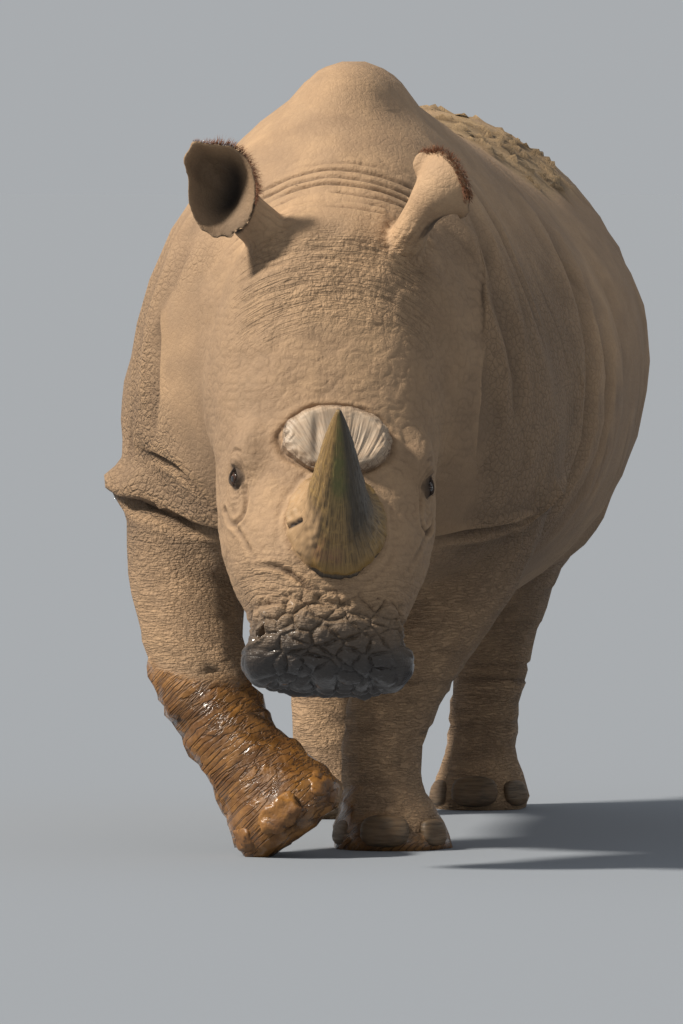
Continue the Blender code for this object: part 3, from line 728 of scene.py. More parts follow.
# %% Nostrils and soles
for side, seat in NOSTRIL.items():
    sign = side_sign(side)
    out, long = outward_axes(head_way(0.77 * sign, 0.0, 0.63), head_way(0.25 * sign, 1.0, -0.55))
    centre, wide = from_head(seat)[0], np.cross(out, long)
    close = np.linalg.norm(moved - centre, axis=1) < 0.07
    part = moved[close] - centre
    a, b = part @ long, part @ wide
    bend = b - 12.0 * a**2 * sign
    pit = np.hypot(a / 0.020, bend / 0.0085)
    into = 0.030 * (1 - smoothstep(pit, 0.3, 1.15)) - 0.006 * bell(pit - 1.8, 0.5)
    moved[close] -= into[:, None] * out

moved[:, 2] = np.maximum(moved[:, 2], 0.0)
sole = near_nodes(moved, FEET_NODES, 0.01) * (points[:, 2] < 0.006)
moved[:, 2] *= 1 - sole
set_coords(body, moved)
rise = ((moved - points) * outward).sum(1)
smooth_rise = relax(rise[:, None], edges(body), 25, 0.5)[:, 0]
FULL_MARK = 0.0030  # height over or under the smoothed skin where the mark is full
# The hide is painted darker where the skin lies under its smoothed self, a painted shade in creases and hollows,
# and lighter where it stands over it, a painted highlight.
crease_shade_mask = np.clip((smooth_rise - rise) / FULL_MARK, 0, 1)
raised_highlight_mask = np.clip((rise - smooth_rise) / FULL_MARK, 0, 1)
print("skin moved by", rise.min().round(4), "to", rise.max().round(4))

# %% [markdown]
# ## The skin, step 4: fewer faces
# Most of the fine cells lie on smooth flanks. Collapsing edges where the skin is
# flattest keeps the folds and brings the mesh under two hundred thousand
# triangles. Masks that the hide's material reads go onto the points.

# %% Thin out
MOST_TRIANGLES = 196_000


def mark(mesh, name, values):
    """Stores one number for each point under the given name."""
    layer = mesh.attributes.new(name, "FLOAT", "POINT")
    layer.data.foreach_set("value", np.ascontiguousarray(values, np.float32))


mark(body, "hollow", crease_shade_mask)
mark(body, "raised_highlight", raised_highlight_mask)
skin = put("skin", body)
may_go = skin.vertex_groups.new(name="spare")
on_nape = nape * (arc > 0.55) * (arc < 0.73)
spare = 1 - np.maximum(np.maximum(0.75 * on_head * (N > -0.3), on_ear * 0.8), 0.7 * on_nape)
LEVELS = 10
for level in range(LEVELS + 1):
    chosen = np.flatnonzero(np.round(spare * LEVELS) == level)
    if len(chosen):
        may_go.add(chosen.tolist(), level / LEVELS, "REPLACE")
triangles = 2 * len(body.polygons)
thin_out = skin.modifiers.new("thin", "DECIMATE")
thin_out.ratio = MOST_TRIANGLES / triangles
thin_out.vertex_group = "spare"
thin_out.vertex_group_factor = 1.0
body = applied(skin)
body.name = "skin"
skin = put("skin", body)
body.shade_smooth()
while body.materials:
    body.materials.pop()
print("skin:", len(body.polygons), "faces")

# %% Mark the skin for its finish
points, outward = coords(body), normals(body)
X, U, N = to_head(points).T
wx, wy, wz = points.T
on_head = head_mask(X, U, N)
mark(body, "mud", mud_of(points))
mark(body, "crust", crust_of(points))
arc = arc_of(points)
over_brow = brow_mask(arc, X, N)
on_leg = near_nodes(points, LEGS + FEET_NODES, 0.10) * (1 - on_head) * (1 - smoothstep(wz, 0.55, 0.85))
mark(body, "arc", arc)
mark(body, "brow", over_brow)
mark(body, "leg", on_leg)
flank = smoothstep(np.abs(wx), 0.16, 0.30) * smoothstep(wz, 0.55, 0.70)
flank = flank * (1 - smoothstep(wz, 1.15, 1.45)) * (1 - smoothstep(wy, -0.25, 0.15))
muzzle = smoothstep(U, 0.84, 0.90) * on_head
cobbled = 0.22 + 0.80 * flank * (1 - on_head) + 0.25 * on_leg - 0.04 * on_head
mark(body, "cobbled", np.clip(cobbled + 0.15 * muzzle + 0.30 * over_brow, 0, 1))
# The flanks and the sides of the face are marked to be painted darker: a painted shade.
cheek = 0.7 * on_head * smoothstep(np.abs(X), 0.11, 0.20)
mark(body, "side_shade", np.clip(0.8 * flank * (1 - on_head) + cheek, 0, 1))
edge = U + 0.30 * np.maximum(-N - 0.03, 0) + 0.02 * noise(points, 0.05, 98)
mark(body, "lips", on_head * smoothstep(edge, 0.850, 1.015) * smoothstep(N, -0.34, -0.24))
edge = U + 0.02 * noise(points, 0.04, 99)
mark(body, "grey", on_head * smoothstep(edge, 0.835, 0.92) * smoothstep(N, -0.30, -0.20))
mark(body, "down_foot", points @ FOOT_WAY)
print("marks for the legs, brow, muzzle and clay")

# %% Mark lids and ears
# Round each eye opening the skin is marked to be painted darker, a painted shade of the lids; over the brow
# swelling the mark gives a darker tint.
lid_shade_and_tint = np.zeros(len(points))
for side in EYE_SEAT:
    centre, out, along, up = eye_axes(side)
    a, b = (points - centre) @ along, (points - centre) @ up
    close = 1 - smoothstep(np.linalg.norm(points - centre, axis=1), 0.034, 0.060)
    lid_shade_and_tint = np.maximum(lid_shade_and_tint, close * (1 - smoothstep(almond_of(a, b), 1.1, 2.4)))
    lid_shade_and_tint = np.maximum(lid_shade_and_tint, 0.45 * close * bell(a + 0.029, 0.014) * bell(b - 0.004, 0.020))
mark(body, "lid_shade_and_tint", lid_shade_and_tint)
# Inside each ear the cup is marked to be painted dark, more so deeper in and to one side: a painted shade.
cup = np.zeros(len(points))
for side in EARS:
    local = ear_local(points, side)
    inward = np.array(EAR_TURN[side] @ Vector((0, 1, 0)))
    facing = smoothstep(-(outward @ inward), -0.35, 0.05)
    share = np.hypot(local[:, 0], local[:, 2]) / ear_rim(np.arctan2(local[:, 2], local[:, 0]))
    deep = local[:, 1]
    within = (1 - smoothstep(share, 0.93, 1.0)) * (deep > -0.03) * (1 - smoothstep(deep, 0.075, 0.10))
    towards = 0.6 + 0.4 * smoothstep(-local[:, 0] - 0.3 * local[:, 2], -0.045, 0.03)
    shade = towards * (0.50 * smoothstep(deep, -0.022, 0.004) + 0.50 * smoothstep(deep, 0.010, 0.060))
    cup = np.maximum(cup, within * facing * shade)
mark(body, "cup", cup)
mark(body, "ear", near_nodes(points, EAR_NODES, 0.02))
print("marks:", [a.name for a in body.attributes if not a.name.startswith(".")])
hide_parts(*FLESH)
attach(skin, "root")

# %% [markdown]
# ## Shader tools
# A finish is a small graph: patterns read the object's own coordinates or a mask on
# its points, and feed colour, roughness and bump. Two effects serve several
# finishes, so they are groups: mottling, and a cracked cobble.

# %% Node helpers
class Graph:
    """A short way to add nodes to a tree and join them."""

    def __init__(self, tree):
        self.tree = tree

    def add(self, kind, values=None, **settings):
        """A node of this kind: a value is a number or colour to set, or a socket to link."""
        node = self.tree.nodes.new(kind)
        for name, value in settings.items():
            setattr(node, name, value)
        for socket, value in (values or {}).items():
            if isinstance(value, bpy.types.NodeSocket):
                self.tree.links.new(value, node.inputs[socket])
            else:
                node.inputs[socket].default_value = value
        return node

    def here(self):
        return self.add("ShaderNodeTexCoord").outputs["Object"]

    def mask(self, name):
        return self.add("ShaderNodeAttribute", attribute_name=name).outputs["Fac"]

    def vector(self, x, y, z=0.0):
        return self.add("ShaderNodeCombineXYZ", {0: x, 1: y, 2: z}).outputs[0]

    def noise(self, vector, scale, detail=4.0, rough=0.55):
        values = {"Vector": vector, "Scale": scale, "Detail": detail, "Roughness": rough}
        return self.add("ShaderNodeTexNoise", values).outputs["Fac"]

    def span(self, value, low, high, to_low=0.0, to_high=1.0):
        """An S-curve that leads from to_low, at low, to to_high, at high."""
        values = {"Value": value, "From Min": low, "From Max": high, "To Min": to_low, "To Max": to_high}
        return self.add("ShaderNodeMapRange", values, interpolation_type="SMOOTHSTEP").outputs[0]

    def math(self, kind, a, b=0.0):
        return self.add("ShaderNodeMath", {0: a, 1: b}, operation=kind).outputs[0]

    def times(self, a, b):
        return self.math("MULTIPLY", a, b)

    def plus(self, a, b):
        return self.math("ADD", a, b)

    def less(self, a, b):
        return self.math("SUBTRACT", a, b)

    def most(self, a, b):
        return self.math("MAXIMUM", a, b)

    def size(self, a):
        return self.math("ABSOLUTE", a)

    def mix(self, share, a, b):
        """The first colour, going over to the second as the share goes from 0 to 1."""
        return self.add("ShaderNodeMix", {0: share, 6: a, 7: b}, data_type="RGBA").outputs[2]

    def stain(self, colour, mask, strength, other):
        """The colour, going over to another where the mask is 1, by the strength."""
        return self.mix(self.times(mask, strength), colour, other)

    def number(self, share, a, b):
        """As mix, for two numbers."""
        return self.add("ShaderNodeMix", {0: share, 2: a, 3: b}).outputs[0]

    def bump(self, height, distance):
        values = {"Height": height, "Distance": distance, "Strength": 1.0}
        return self.add("ShaderNodeBump", values).outputs[0]

    def placed(self, effect, vector, scale, **values):
        """The outputs of a group that is placed with its coordinates, scale and other values."""
        values = {"Vector": vector, "Scale": scale, **values}
        return self.add("ShaderNodeGroup", values, node_tree=effect).outputs

    def link(self, node, **values):
        """Links values to a node's sockets, which are named with _ for a space."""
        for socket, value in values.items():
            self.tree.links.new(value, node.inputs[socket.replace("_", " ")])


# %% Mottle and cobble groups
def group(name, inputs, outputs):
    """A node group with no nodes but its ends: its graph, its inputs, and its output node."""
    tree = bpy.data.node_groups.new(name, "ShaderNodeTree")
    new_socket, number = tree.interface.new_socket, "NodeSocketFloat"
    new_socket("Vector", in_out="INPUT", socket_type="NodeSocketVector")
    for label, value in inputs.items():
        new_socket(label, in_out="INPUT", socket_type=number).default_value = value
    for label in outputs:
        new_socket(label, in_out="OUTPUT", socket_type=number)
    graph = Graph(tree)
    return graph, graph.add("NodeGroupInput").outputs, graph.add("NodeGroupOutput")


def mottle_group():
    """Patches: two sizes of noise added, then spread to the full range."""
    g, given, out = group("mottle", {"Scale": 5.0}, ("Mask",))
    broad = g.noise(given["Vector"], given["Scale"], 3.0)
    fine = g.noise(given["Vector"], g.times(given["Scale"], 6.3), 4.0)
    g.link(out, Mask=g.span(g.plus(g.times(broad, 0.7), g.times(fine, 0.3)), 0.36, 0.64))
    return g.tree


def cobble_group():
    """Cobbles: distance to the cell edge, on coordinates shaken by noise. Cracks are where it
    is small."""
    g, given, out = group("cobble", {"Scale": 60.0, "Sway": 0.3}, ("Height", "Cracks"))
    vector, scale = given["Vector"], given["Scale"]

    def moved(kind, first, second, socket=1):
        return g.add("ShaderNodeVectorMath", {0: first, socket: second}, operation=kind).outputs[0]

    values = {"Vector": vector, "Scale": g.times(scale, 0.8), "Detail": 2.0}
    shaken = g.add("ShaderNodeTexNoise", values).outputs["Color"]
    offset = moved("SUBTRACT", shaken, (0.5, 0.5, 0.5))
    offset = moved("SCALE", offset, g.math("DIVIDE", given["Sway"], scale), "Scale")
    values = {"Vector": moved("ADD", vector, offset), "Scale": scale}
    cell = g.add("ShaderNodeTexVoronoi", values, feature="DISTANCE_TO_EDGE")
    edge = cell.outputs["Distance"]
    g.link(out, Height=g.span(edge, 0.0, 0.30), Cracks=g.span(edge, 0.0, 0.09, 1.0, 0.0))
    return g.tree


def finish(name):
    """A new material: its graph and its Principled shader."""
    made = bpy.data.materials.new(name)
    made.use_nodes = True
    return made, Graph(made.node_tree), made.node_tree.nodes["Principled BSDF"]


MOTTLE, COBBLE = mottle_group(), cobble_group()
print("groups:", MOTTLE.name, COBBLE.name)

# %% [markdown]
# ## Hide
# Dry dust makes the hide tan. Creases and hollows are painted darker and raised skin
# lighter, a painted shade and a painted highlight; the flanks and the sides of the face
# are painted darker too, a painted shade. Nearly everywhere the hide is cracked into
# cobbles one or two centimetres wide, with finer ones among them, and round the legs and
# over the brow the cracks run in long rings. Wet clay is darker, ochre and glossy, with
# painted shade in its hollows and creases; lips are nearly black, their own dark colour
# with a painted shade under the muzzle.

# %% Hide
WET_CLAY = (paint(104, 68, 32), paint(138, 96, 48))


def crease_lines(g, here):
    """Distance from the rings round the legs, the arcs of the brow, and the creases down the
    stepping foot: noise squeezed along one way, taken from its middle value."""
    apart = g.add("ShaderNodeSeparateXYZ", {0: here}).outputs
    ways = ((apart["Z"], 0.16, 150.0), (g.mask("arc"), 0.07, 110.0), (g.mask("down_foot"), 0.25, 62.0))
    lines = []
    for way, slow, scale in ways:
        turn = g.times(g.plus(apart["X"], apart["Y"]), slow)
        other = g.times(g.less(apart["Z"], apart["X"]), slow)
        lines.append(g.size(g.less(g.noise(g.vector(way, turn, other), scale, 3.0, 0.5), 0.5)))
    return lines


def hide_finish():
    """Dust over cracked grey skin, then clay, lips, lids and the ears' insides by their marks, with painted
    shade in hollows, on flanks and cheeks, round the eyes and in the ears' cups, and a painted highlight on
    raised skin.
    """
    made, g, shader = finish("hide")
    here = g.here()
    patches, specks = (g.placed(MOTTLE, here, scale)["Mask"] for scale in (2.4, 17.0))
    large, small = g.placed(COBBLE, here, 62.0, Sway=0.45), g.placed(COBBLE, here, 150.0, Sway=0.5)
    marks = ("hollow", "raised_highlight", "brow", "leg", "mud", "crust", "lips", "cup", "cobbled", "lid_shade_and_tint")
    hollow, raised_highlight, brow, leg, mud, crust, lips, cup, cobbled, lid_shade_and_tint = map(g.mask, marks)
    rings, arcs, foot_lines = crease_lines(g, here)
    pores = g.noise(here, 420.0, 3.0, 0.6)
    creased = g.span(foot_lines, 0.0, 0.07, 1.0, 0.0)

    # Height: cobbles, rings, arcs and pores, and lumps with creases where the skin is wet.
    relief = g.times(g.plus(g.times(large["Height"], 0.75), g.times(small["Height"], 0.35)), cobbled)
    ring = g.times(g.times(g.span(rings, 0.0, 0.10, -1.0, 0.0), leg), 0.8)
    ridge = g.times(g.times(g.span(arcs, 0.0, 0.09, -1.0, 0.0), brow), 0.50)
    relief = g.plus(g.plus(relief, g.plus(ring, ridge)), g.times(pores, 0.32))
    lumps = g.less(g.noise(here, 70.0, 4.0), g.times(g.times(creased, mud), 0.8))
    relief = g.number(g.most(mud, g.times(lips, 0.5)), relief, lumps)

    # Colour: each stain lies over the ones before it.
    ring_cracks = g.times(g.span(rings, 0.0, 0.035, 1.0, 0.0), leg)
    arc_cracks = g.times(g.span(arcs, 0.0, 0.028, 1.0, 0.0), brow)
    cracks = g.most(g.times(large["Cracks"], cobbled), g.times(g.most(ring_cracks, arc_cracks), 0.7))
    colour = g.mix(patches, paint(150, 124, 98), paint(174, 143, 110))
    for mask, strength, stain in (
        (g.mask("ear"), 0.4, paint(198, 164, 128)),
        (cobbled, 0.30, paint(124, 101, 78)),
        (specks, 0.35, paint(136, 110, 86)),
        # Flanks and the sides of the face darker: a painted shade.
        (g.mask("side_shade"), 0.45, paint(112, 92, 72)),
        # Raised skin lighter: a painted highlight.
        (raised_highlight, 0.35, paint(182, 148, 112)),
        (cracks, 0.45, paint(84, 66, 50)),
        # Skin under its smoothed self darker: a painted shade in creases and hollows.
        (hollow, 0.70, paint(72, 56, 43)),
    ):
        colour = g.stain(colour, mask, strength, stain)
    earth = g.mix(g.noise(here, 60.0, 4.0), paint(136, 112, 84), paint(174, 146, 108))
    # Dried clay, darkened in its hollows: a painted shade.
    colour = g.mix(crust, colour, g.mix(hollow, earth, paint(60, 45, 30)))
    colour = g.stain(colour, g.mask("grey"), 0.50, paint(96, 83, 68))
    # Lips nearly black: their own dark colour with a painted shade under the muzzle.
    colour = g.stain(colour, lips, 0.97, g.mix(patches, paint(24, 20, 19), paint(42, 36, 33)))
    # Ear cups darkened deeper in and to one side: a painted shade.
    colour = g.mix(cup, colour, g.mix(specks, paint(24, 19, 16), paint(42, 34, 28)))
    # Darker round the eye opening, a painted shade of the lids, and a darker tint over the brow swelling.
    colour = g.stain(colour, lid_shade_and_tint, 0.9, paint(44, 36, 33))
    # Wet clay, darkened in its hollows and creases: a painted shade.
    clay = g.mix(g.most(hollow, g.times(creased, 0.6)), g.mix(specks, *WET_CLAY), paint(48, 30, 16))
    colour = g.mix(mud, colour, clay)

    # Gloss: only clay and lips are wet.
    wet = g.span(g.noise(here, 26.0, 3.0), 0.42, 0.62)
    rough = g.number(lips, g.plus(g.times(pores, 0.12), 0.70), 0.38)
    rough = g.number(mud, rough, g.span(wet, 0.0, 1.0, 0.55, 0.22))
    coat = g.most(g.times(mud, g.times(wet, 0.8)), g.times(lips, 0.5))
    g.link(shader, Base_Color=colour, Roughness=rough, Coat_Weight=coat, Normal=g.bump(relief, 0.0032))
    shader.inputs["Coat Roughness"].default_value = 0.14
    shader.inputs["Specular IOR Level"].default_value = 0.35
    return made


skin.data.materials.append(hide_finish())
print("hide:", len(skin.data.materials[0].node_tree.nodes), "nodes")

# %% [markdown]
# ## The front horn
# A rhinoceros horn is packed hair: it wears smooth in front, and its foot spreads
# over the skin with a frayed rim. It is a profile of radii carried along a path
# that leans back towards the brow, on a grid of angle and distance, with grooves
# along the fibres and shallow terraces near the foot.

# %% Grids
def face_out(mesh):
    """Turns a closed mesh's faces outwards."""
    work = bmesh.new()
    work.from_mesh(mesh)
    bmesh.ops.recalc_face_normals(work, faces=work.faces)
    work.to_mesh(mesh)
    work.free()


def grid_mesh(name, rows, tip=None):
    """A closed mesh of rows x columns points: each row is a ring, and the first and the last close
    on a pole in the ring's middle, or on the tip that is given for the last."""
    count, width = rows.shape[:2]
    i, j = np.meshgrid(np.arange(count - 1), np.arange(width), indexing="ij")
    a, b = i * width + j, i * width + (j + 1) % width
    faces = np.stack([a, b, b + width, a + width], -1).reshape(-1, 4).tolist()
    poles = [rows[0].mean(0), rows[-1].mean(0) if tip is None else tip]
    ring, base, pole = np.arange(width), (count - 1) * width, np.full(width, count * width)
    faces += np.stack([pole, (ring + 1) % width, ring], -1).tolist()
    faces += np.stack([pole + 1, base + ring, base + (ring + 1) % width], -1).tolist()
    mesh = bpy.data.meshes.new(name)
    mesh.from_pydata(np.vstack([rows.reshape(-1, 3), poles]).tolist(), [], faces)
    mesh.update()
    face_out(mesh)
    return mesh


def piece(name, mesh, material, stands_for=()):
    """Puts a finished mesh in the scene, riding on the animal."""
    obj = put(name, mesh)
    mesh.shade_smooth()
    mesh.materials.append(material)
    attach(obj, "root")
    if stands_for:
        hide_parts(*stands_for)
    print(name, len(mesh.polygons), "faces")


# %% Front horn
HORN_LENGTH = 0.365
HORN_FOOT, HORN_LEAN = 4, 30  # degrees: the lean at the foot, and how much it grows up to the tip
HORN_LONG = 0.12  # how much longer than wide the foot is, as a share; the tip is round
HORN_PROFILE = [  # share of the length, and radius
    (-0.24, 0.098), (-0.03, 0.107), (0.06, 0.100), (0.16, 0.080), (0.30, 0.066),
    (0.46, 0.055), (0.62, 0.044), (0.78, 0.031), (0.91, 0.018), (1.0, 0.006),
]


def smooth_through(stops, values, wanted):
    """Cubic Hermite curve through the stops, with slopes from the neighbours."""
    stops, values = np.array(stops, float), np.array(values, float)
    slopes = np.gradient(values, stops)
    i = np.clip(np.searchsorted(stops, wanted, "right") - 1, 0, len(stops) - 2)
    gap = stops[i + 1] - stops[i]
    t = (wanted - stops[i]) / gap
    return ((2 * t**3 - 3 * t**2 + 1) * values[i] + (t**3 - 2 * t**2 + t) * gap * slopes[i]
            + (3 * t**2 - 2 * t**3) * values[i + 1] + (t**3 - t**2) * gap * slopes[i + 1])


def horn_surface(rows=150, columns=144):
    """Row s, angle a: centre(s) + r(s) cos a across + long(s) r(s) sin a along the face. The lean of
    the centre's path grows from 4 to 34 degrees, and long falls from 1.12 to 1. The radius varies
    with noise drawn out along the fibres, with terraces across them, and with a frayed foot."""
    shares, radii = np.array(HORN_PROFILE).T
    lean = np.radians(HORN_FOOT + HORN_LEAN * np.maximum(shares, 0))
    step = np.diff(shares, prepend=shares[0]) * HORN_LENGTH
    y = -HORN_SEAT + np.cumsum(np.sin(lean) * step)
    z = 0.022 + shares[0] * HORN_LENGTH + np.cumsum(np.cos(lean) * step)
    half = rows // 2  # as many rows in the spreading foot as in the rest
    low, high = np.linspace(-0.24, 0.16, half, endpoint=False), np.linspace(0.16, 1.0, rows - half)
    s = np.concatenate([low, high])
    radius, cy, cz = (smooth_through(shares, v, s) for v in (radii, y, z))
    lifted = np.maximum(s, 0)
    tilt = np.radians(HORN_FOOT + HORN_LEAN * lifted)[:, None]
    a = np.linspace(0, 2 * math.pi, columns, endpoint=False)
    spot = np.stack(np.broadcast_arrays(np.cos(a), np.sin(a), s[:, None] * 3.0), -1).reshape(-1, 3)
    fibre = noise(spot * (1, 1, 0.35), 0.035, 111) * 0.0010 + noise(spot * (1, 1, 0.3), 0.12, 112) * 0.0016
    terrace = noise(np.column_stack([spot[:, 2] * 9, spot[:, :2] * 0.8]), 1.0, 113) * 0.0016
    frayed = 0.0030 * noise(spot, 0.10, 114)
    foot = 1 - smoothstep(s, 0.10, 0.30)[:, None]
    wear = (fibre + terrace * 0.7).reshape(rows, columns) + foot * frayed.reshape(rows, columns)
    wear += 0.004 * (bell(s - 0.035, 0.030) - bell(s + 0.012, 0.014))[:, None]
    r = radius[:, None] + wear * np.minimum(radius[:, None] / 0.05, 1)
    long = r * (1 + HORN_LONG - HORN_LONG * lifted)[:, None]
    x = -0.034 * lifted[:, None] + np.cos(a) * r
    local_y = cy[:, None] + np.sin(a) * long * np.cos(tilt)
    local_z = cz[:, None] - np.sin(a) * long * np.sin(tilt)
    return np.stack([x, -local_y, local_z], -1), s, a


local, s, a = horn_surface()
rows = from_head(local).reshape(local.shape)
# A slit low on the horn's right side, placed by the way round (a) and the way up (s).
SLIT = [(0.014, 0.004, 0), (0.018, 0.026, 0), (0.027, 0.050, 0)]
about, up = np.broadcast_arrays((a - math.pi) * 0.10, 0.33 * s[:, None])
grid = np.stack([about, up, 0 * up], -1).reshape(-1, 3)
dip = groove(grid, spindle(SLIT), 0.0042, 0.012, 0.0).reshape(about.shape)
centre = rows.mean(1, keepdims=True)
rows = rows + dip[..., None] * (rows - centre) / np.linalg.norm(rows - centre, axis=2, keepdims=True)
tip = rows[-1].mean(0) + 0.004 * head_way(-0.05, -0.55, 0.83)
horn_mesh = grid_mesh("horn", rows, tip)
mark(horn_mesh, "rise", np.append(np.repeat(s, len(a)), (s[0], s[-1])))
mark(horn_mesh, "cleft", np.append(np.clip(-dip / 0.007, 0, 1).ravel(), (0, 0)))
mark(horn_mesh, "left_side", np.append(np.tile(np.cos(a), len(s)), (0, 0)))
mark(horn_mesh, "fore_side", np.append(np.tile(-np.sin(a), len(s)), (0, 0)))


# %% The horn's finish
def horn_finish():
    """Olive and brown keratin: colour by height and side, with a painted shade on its left side and a painted
    shadow under the front of its foot; fibres as stretched noise.
    """
    made, g, shader = finish("horn")
    rise, left, fore = g.mask("rise"), g.mask("left_side"), g.mask("fore_side")
    fibres = g.noise(g.vector(left, fore, g.times(rise, 0.35)), 26.0, 5.0, 0.6)
    around = g.vector(g.times(left, 0.25), g.times(fore, 0.25), g.times(rise, 2.0))
    rungs = g.noise(around, 16.0, 4.0, 0.6)
    patch = g.placed(MOTTLE, g.here(), 14.0)["Mask"]
    base = g.mix(g.span(fibres, 0.35, 0.65), paint(96, 74, 42), paint(144, 114, 66))
    base = g.stain(base, g.span(rungs, 0.50, 0.68), 0.6, paint(150, 120, 68))
    # Olive in front from the middle up, and nearly black on the left: a painted shade on the side away from the
    # key lamp.
    middle = g.less(fore, g.size(g.less(left, 0.10)))
    green = g.times(g.span(rise, 0.28, 0.62), g.span(middle, 0.25, 0.75))
    base = g.stain(base, green, g.span(patch, 0.0, 1.0, 0.35, 0.85), paint(84, 86, 36))
    dark = g.times(g.span(left, 0.02, 0.58), g.span(rise, 0.02, 0.30))
    base = g.stain(base, dark, 0.85, paint(36, 33, 27))
    # Pinkish wear low on the right of the front, a yellow rim, and a painted shadow on the front of the foot,
    # under the horn's overhang.
    pink = g.times(g.span(rise, 0.04, 0.12), g.less(1.0, g.span(rise, 0.14, 0.26)))
    pink = g.times(pink, g.times(g.span(left, -0.75, -0.30), g.span(left, 0.25, -0.15)))
    base = g.stain(base, pink, g.times(patch, 0.7), paint(124, 76, 60))
    rim = g.times(g.span(rise, 0.09, 0.04), g.span(rise, -0.02, 0.01))
    base = g.stain(base, rim, 0.8, paint(128, 98, 46))
    foot = g.times(g.span(rise, 0.0, -0.03), g.span(fore, -0.2, 0.3))
    base = g.stain(base, foot, 0.9, paint(40, 33, 28))
    # Hide climbs the right side of the foot, with a dark edge where it ends.
    skinlike = g.times(g.span(left, -0.48, -0.66), g.span(rise, 0.42, 0.26))
    base = g.stain(base, skinlike, 0.9, g.mix(patch, paint(164, 133, 98), paint(146, 117, 84)))
    base = g.stain(base, g.times(skinlike, g.less(1.0, skinlike)), 1.6, paint(84, 64, 42))
    base = g.mix(g.mask("cleft"), base, paint(48, 35, 25))
    base = g.stain(base, g.span(fibres, 0.40, 0.30), 0.45, paint(40, 31, 22))
    relief = g.plus(g.times(fibres, 0.7), g.times(rungs, 0.5))
    rough = g.span(fibres, 0.3, 0.7, 0.62, 0.40)
    g.link(shader, Base_Color=base, Roughness=rough, Normal=g.bump(relief, 0.0013))
    shader.inputs["Coat Weight"].default_value = 0.12
    shader.inputs["Coat Roughness"].default_value = 0.35
    return made


piece("front_horn", horn_mesh, horn_finish(), ["horn_front"])

# %% [markdown]
# ## The sawn rear horn
# Only the foot of the rear horn is left: an oval plate, cut flat and weathered
# pale, with fibres that fan out from above its upper edge and a flaking rim. The
# grid runs outwards from the plate's middle and down its side into the skin.

# %% Rear horn
FAN_START, FAN_CURL = 0.12, 3.15  # how far above the middle the fibres start, and how they curl


def fan_of(x, v):
    """Angle and distance from the place that the fibres fan out from; on the left side they curl."""
    return np.arctan2(x, v + FAN_START) + FAN_CURL * np.maximum(x, 0), np.hypot(x, v + FAN_START)


def plate_surface(rows=90, columns=144, side_rows=14):
    """Ring q from the middle (0) to the rim (1), then down the side: an oval of q times the half
    sizes, its height a rounded edge less the worn grooves."""
    q = np.concatenate([np.linspace(0.02, 1.0, rows - side_rows), np.full(side_rows, 1.0)])
    drop = np.concatenate([np.zeros(rows - side_rows), np.linspace(0.004, 0.06, side_rows)])
    a = np.linspace(0, 2 * math.pi, columns, endpoint=False)
    round_rim = np.column_stack([np.cos(a), np.sin(a), 0 * a])
    ragged = 1 + 0.035 * noise(round_rim, 0.35, 121)
    ragged += 0.02 * noise(round_rim, 0.12, 122)
    x = q[:, None] * np.cos(a) * PLATE_HALF[0] * ragged
    v = q[:, None] * np.sin(a) * PLATE_HALF[1] * ragged
    fan, reach = fan_of(x, v)
    along_fibres = np.stack([fan * 3.0, reach * 2.0, 0 * x], -1).reshape(-1, 3)
    across = np.stack([x, v, 0 * x], -1).reshape(-1, 3)
    left = smoothstep(x, -0.03, 0.03)  # the fibres show most on this side
    grain = ridged(noise(along_fibres, (0.42, 0.30, 1), 123)).reshape(x.shape) * (0.35 + 0.65 * left)
    fine = noise(along_fibres, (0.05, 0.12, 1), 124).reshape(x.shape)
    lumps = noise(across, 0.045, 125).reshape(x.shape)
    lumps = lumps - 1.6 * bell(x + 0.045, 0.010) * bell(v, 0.05) + 1.2 * bell(x + 0.055, 0.04)
    flakes = cells(across, 0.020, 126).reshape(x.shape)
    rim = smoothstep(q, 0.72, 0.95)[:, None]
    height = 0.028 - 0.010 * smoothstep(q, 0.80, 1.0)[:, None] ** 2 - drop[:, None]
    height = height + 0.001575 * grain * (1 - 0.5 * rim) + 0.0012 * fine * (0.25 + 0.75 * left)
    height = height + 0.0040 * lumps + 0.0035 * rim * (np.minimum(flakes / 0.3, 1) - 1)
    return np.stack([x, PLATE_SEAT - v, height], -1)


local = plate_surface()
plate_mesh = grid_mesh("plate", from_head(local).reshape(local.shape))
x, u, _ = to_head(coords(plate_mesh)).T
mark(plate_mesh, "off_middle", np.hypot(x / PLATE_HALF[0], (u - PLATE_SEAT) / PLATE_HALF[1]))
fan, reach = fan_of(x, PLATE_SEAT - u)
mark(plate_mesh, "fan", fan)
mark(plate_mesh, "outward", reach)


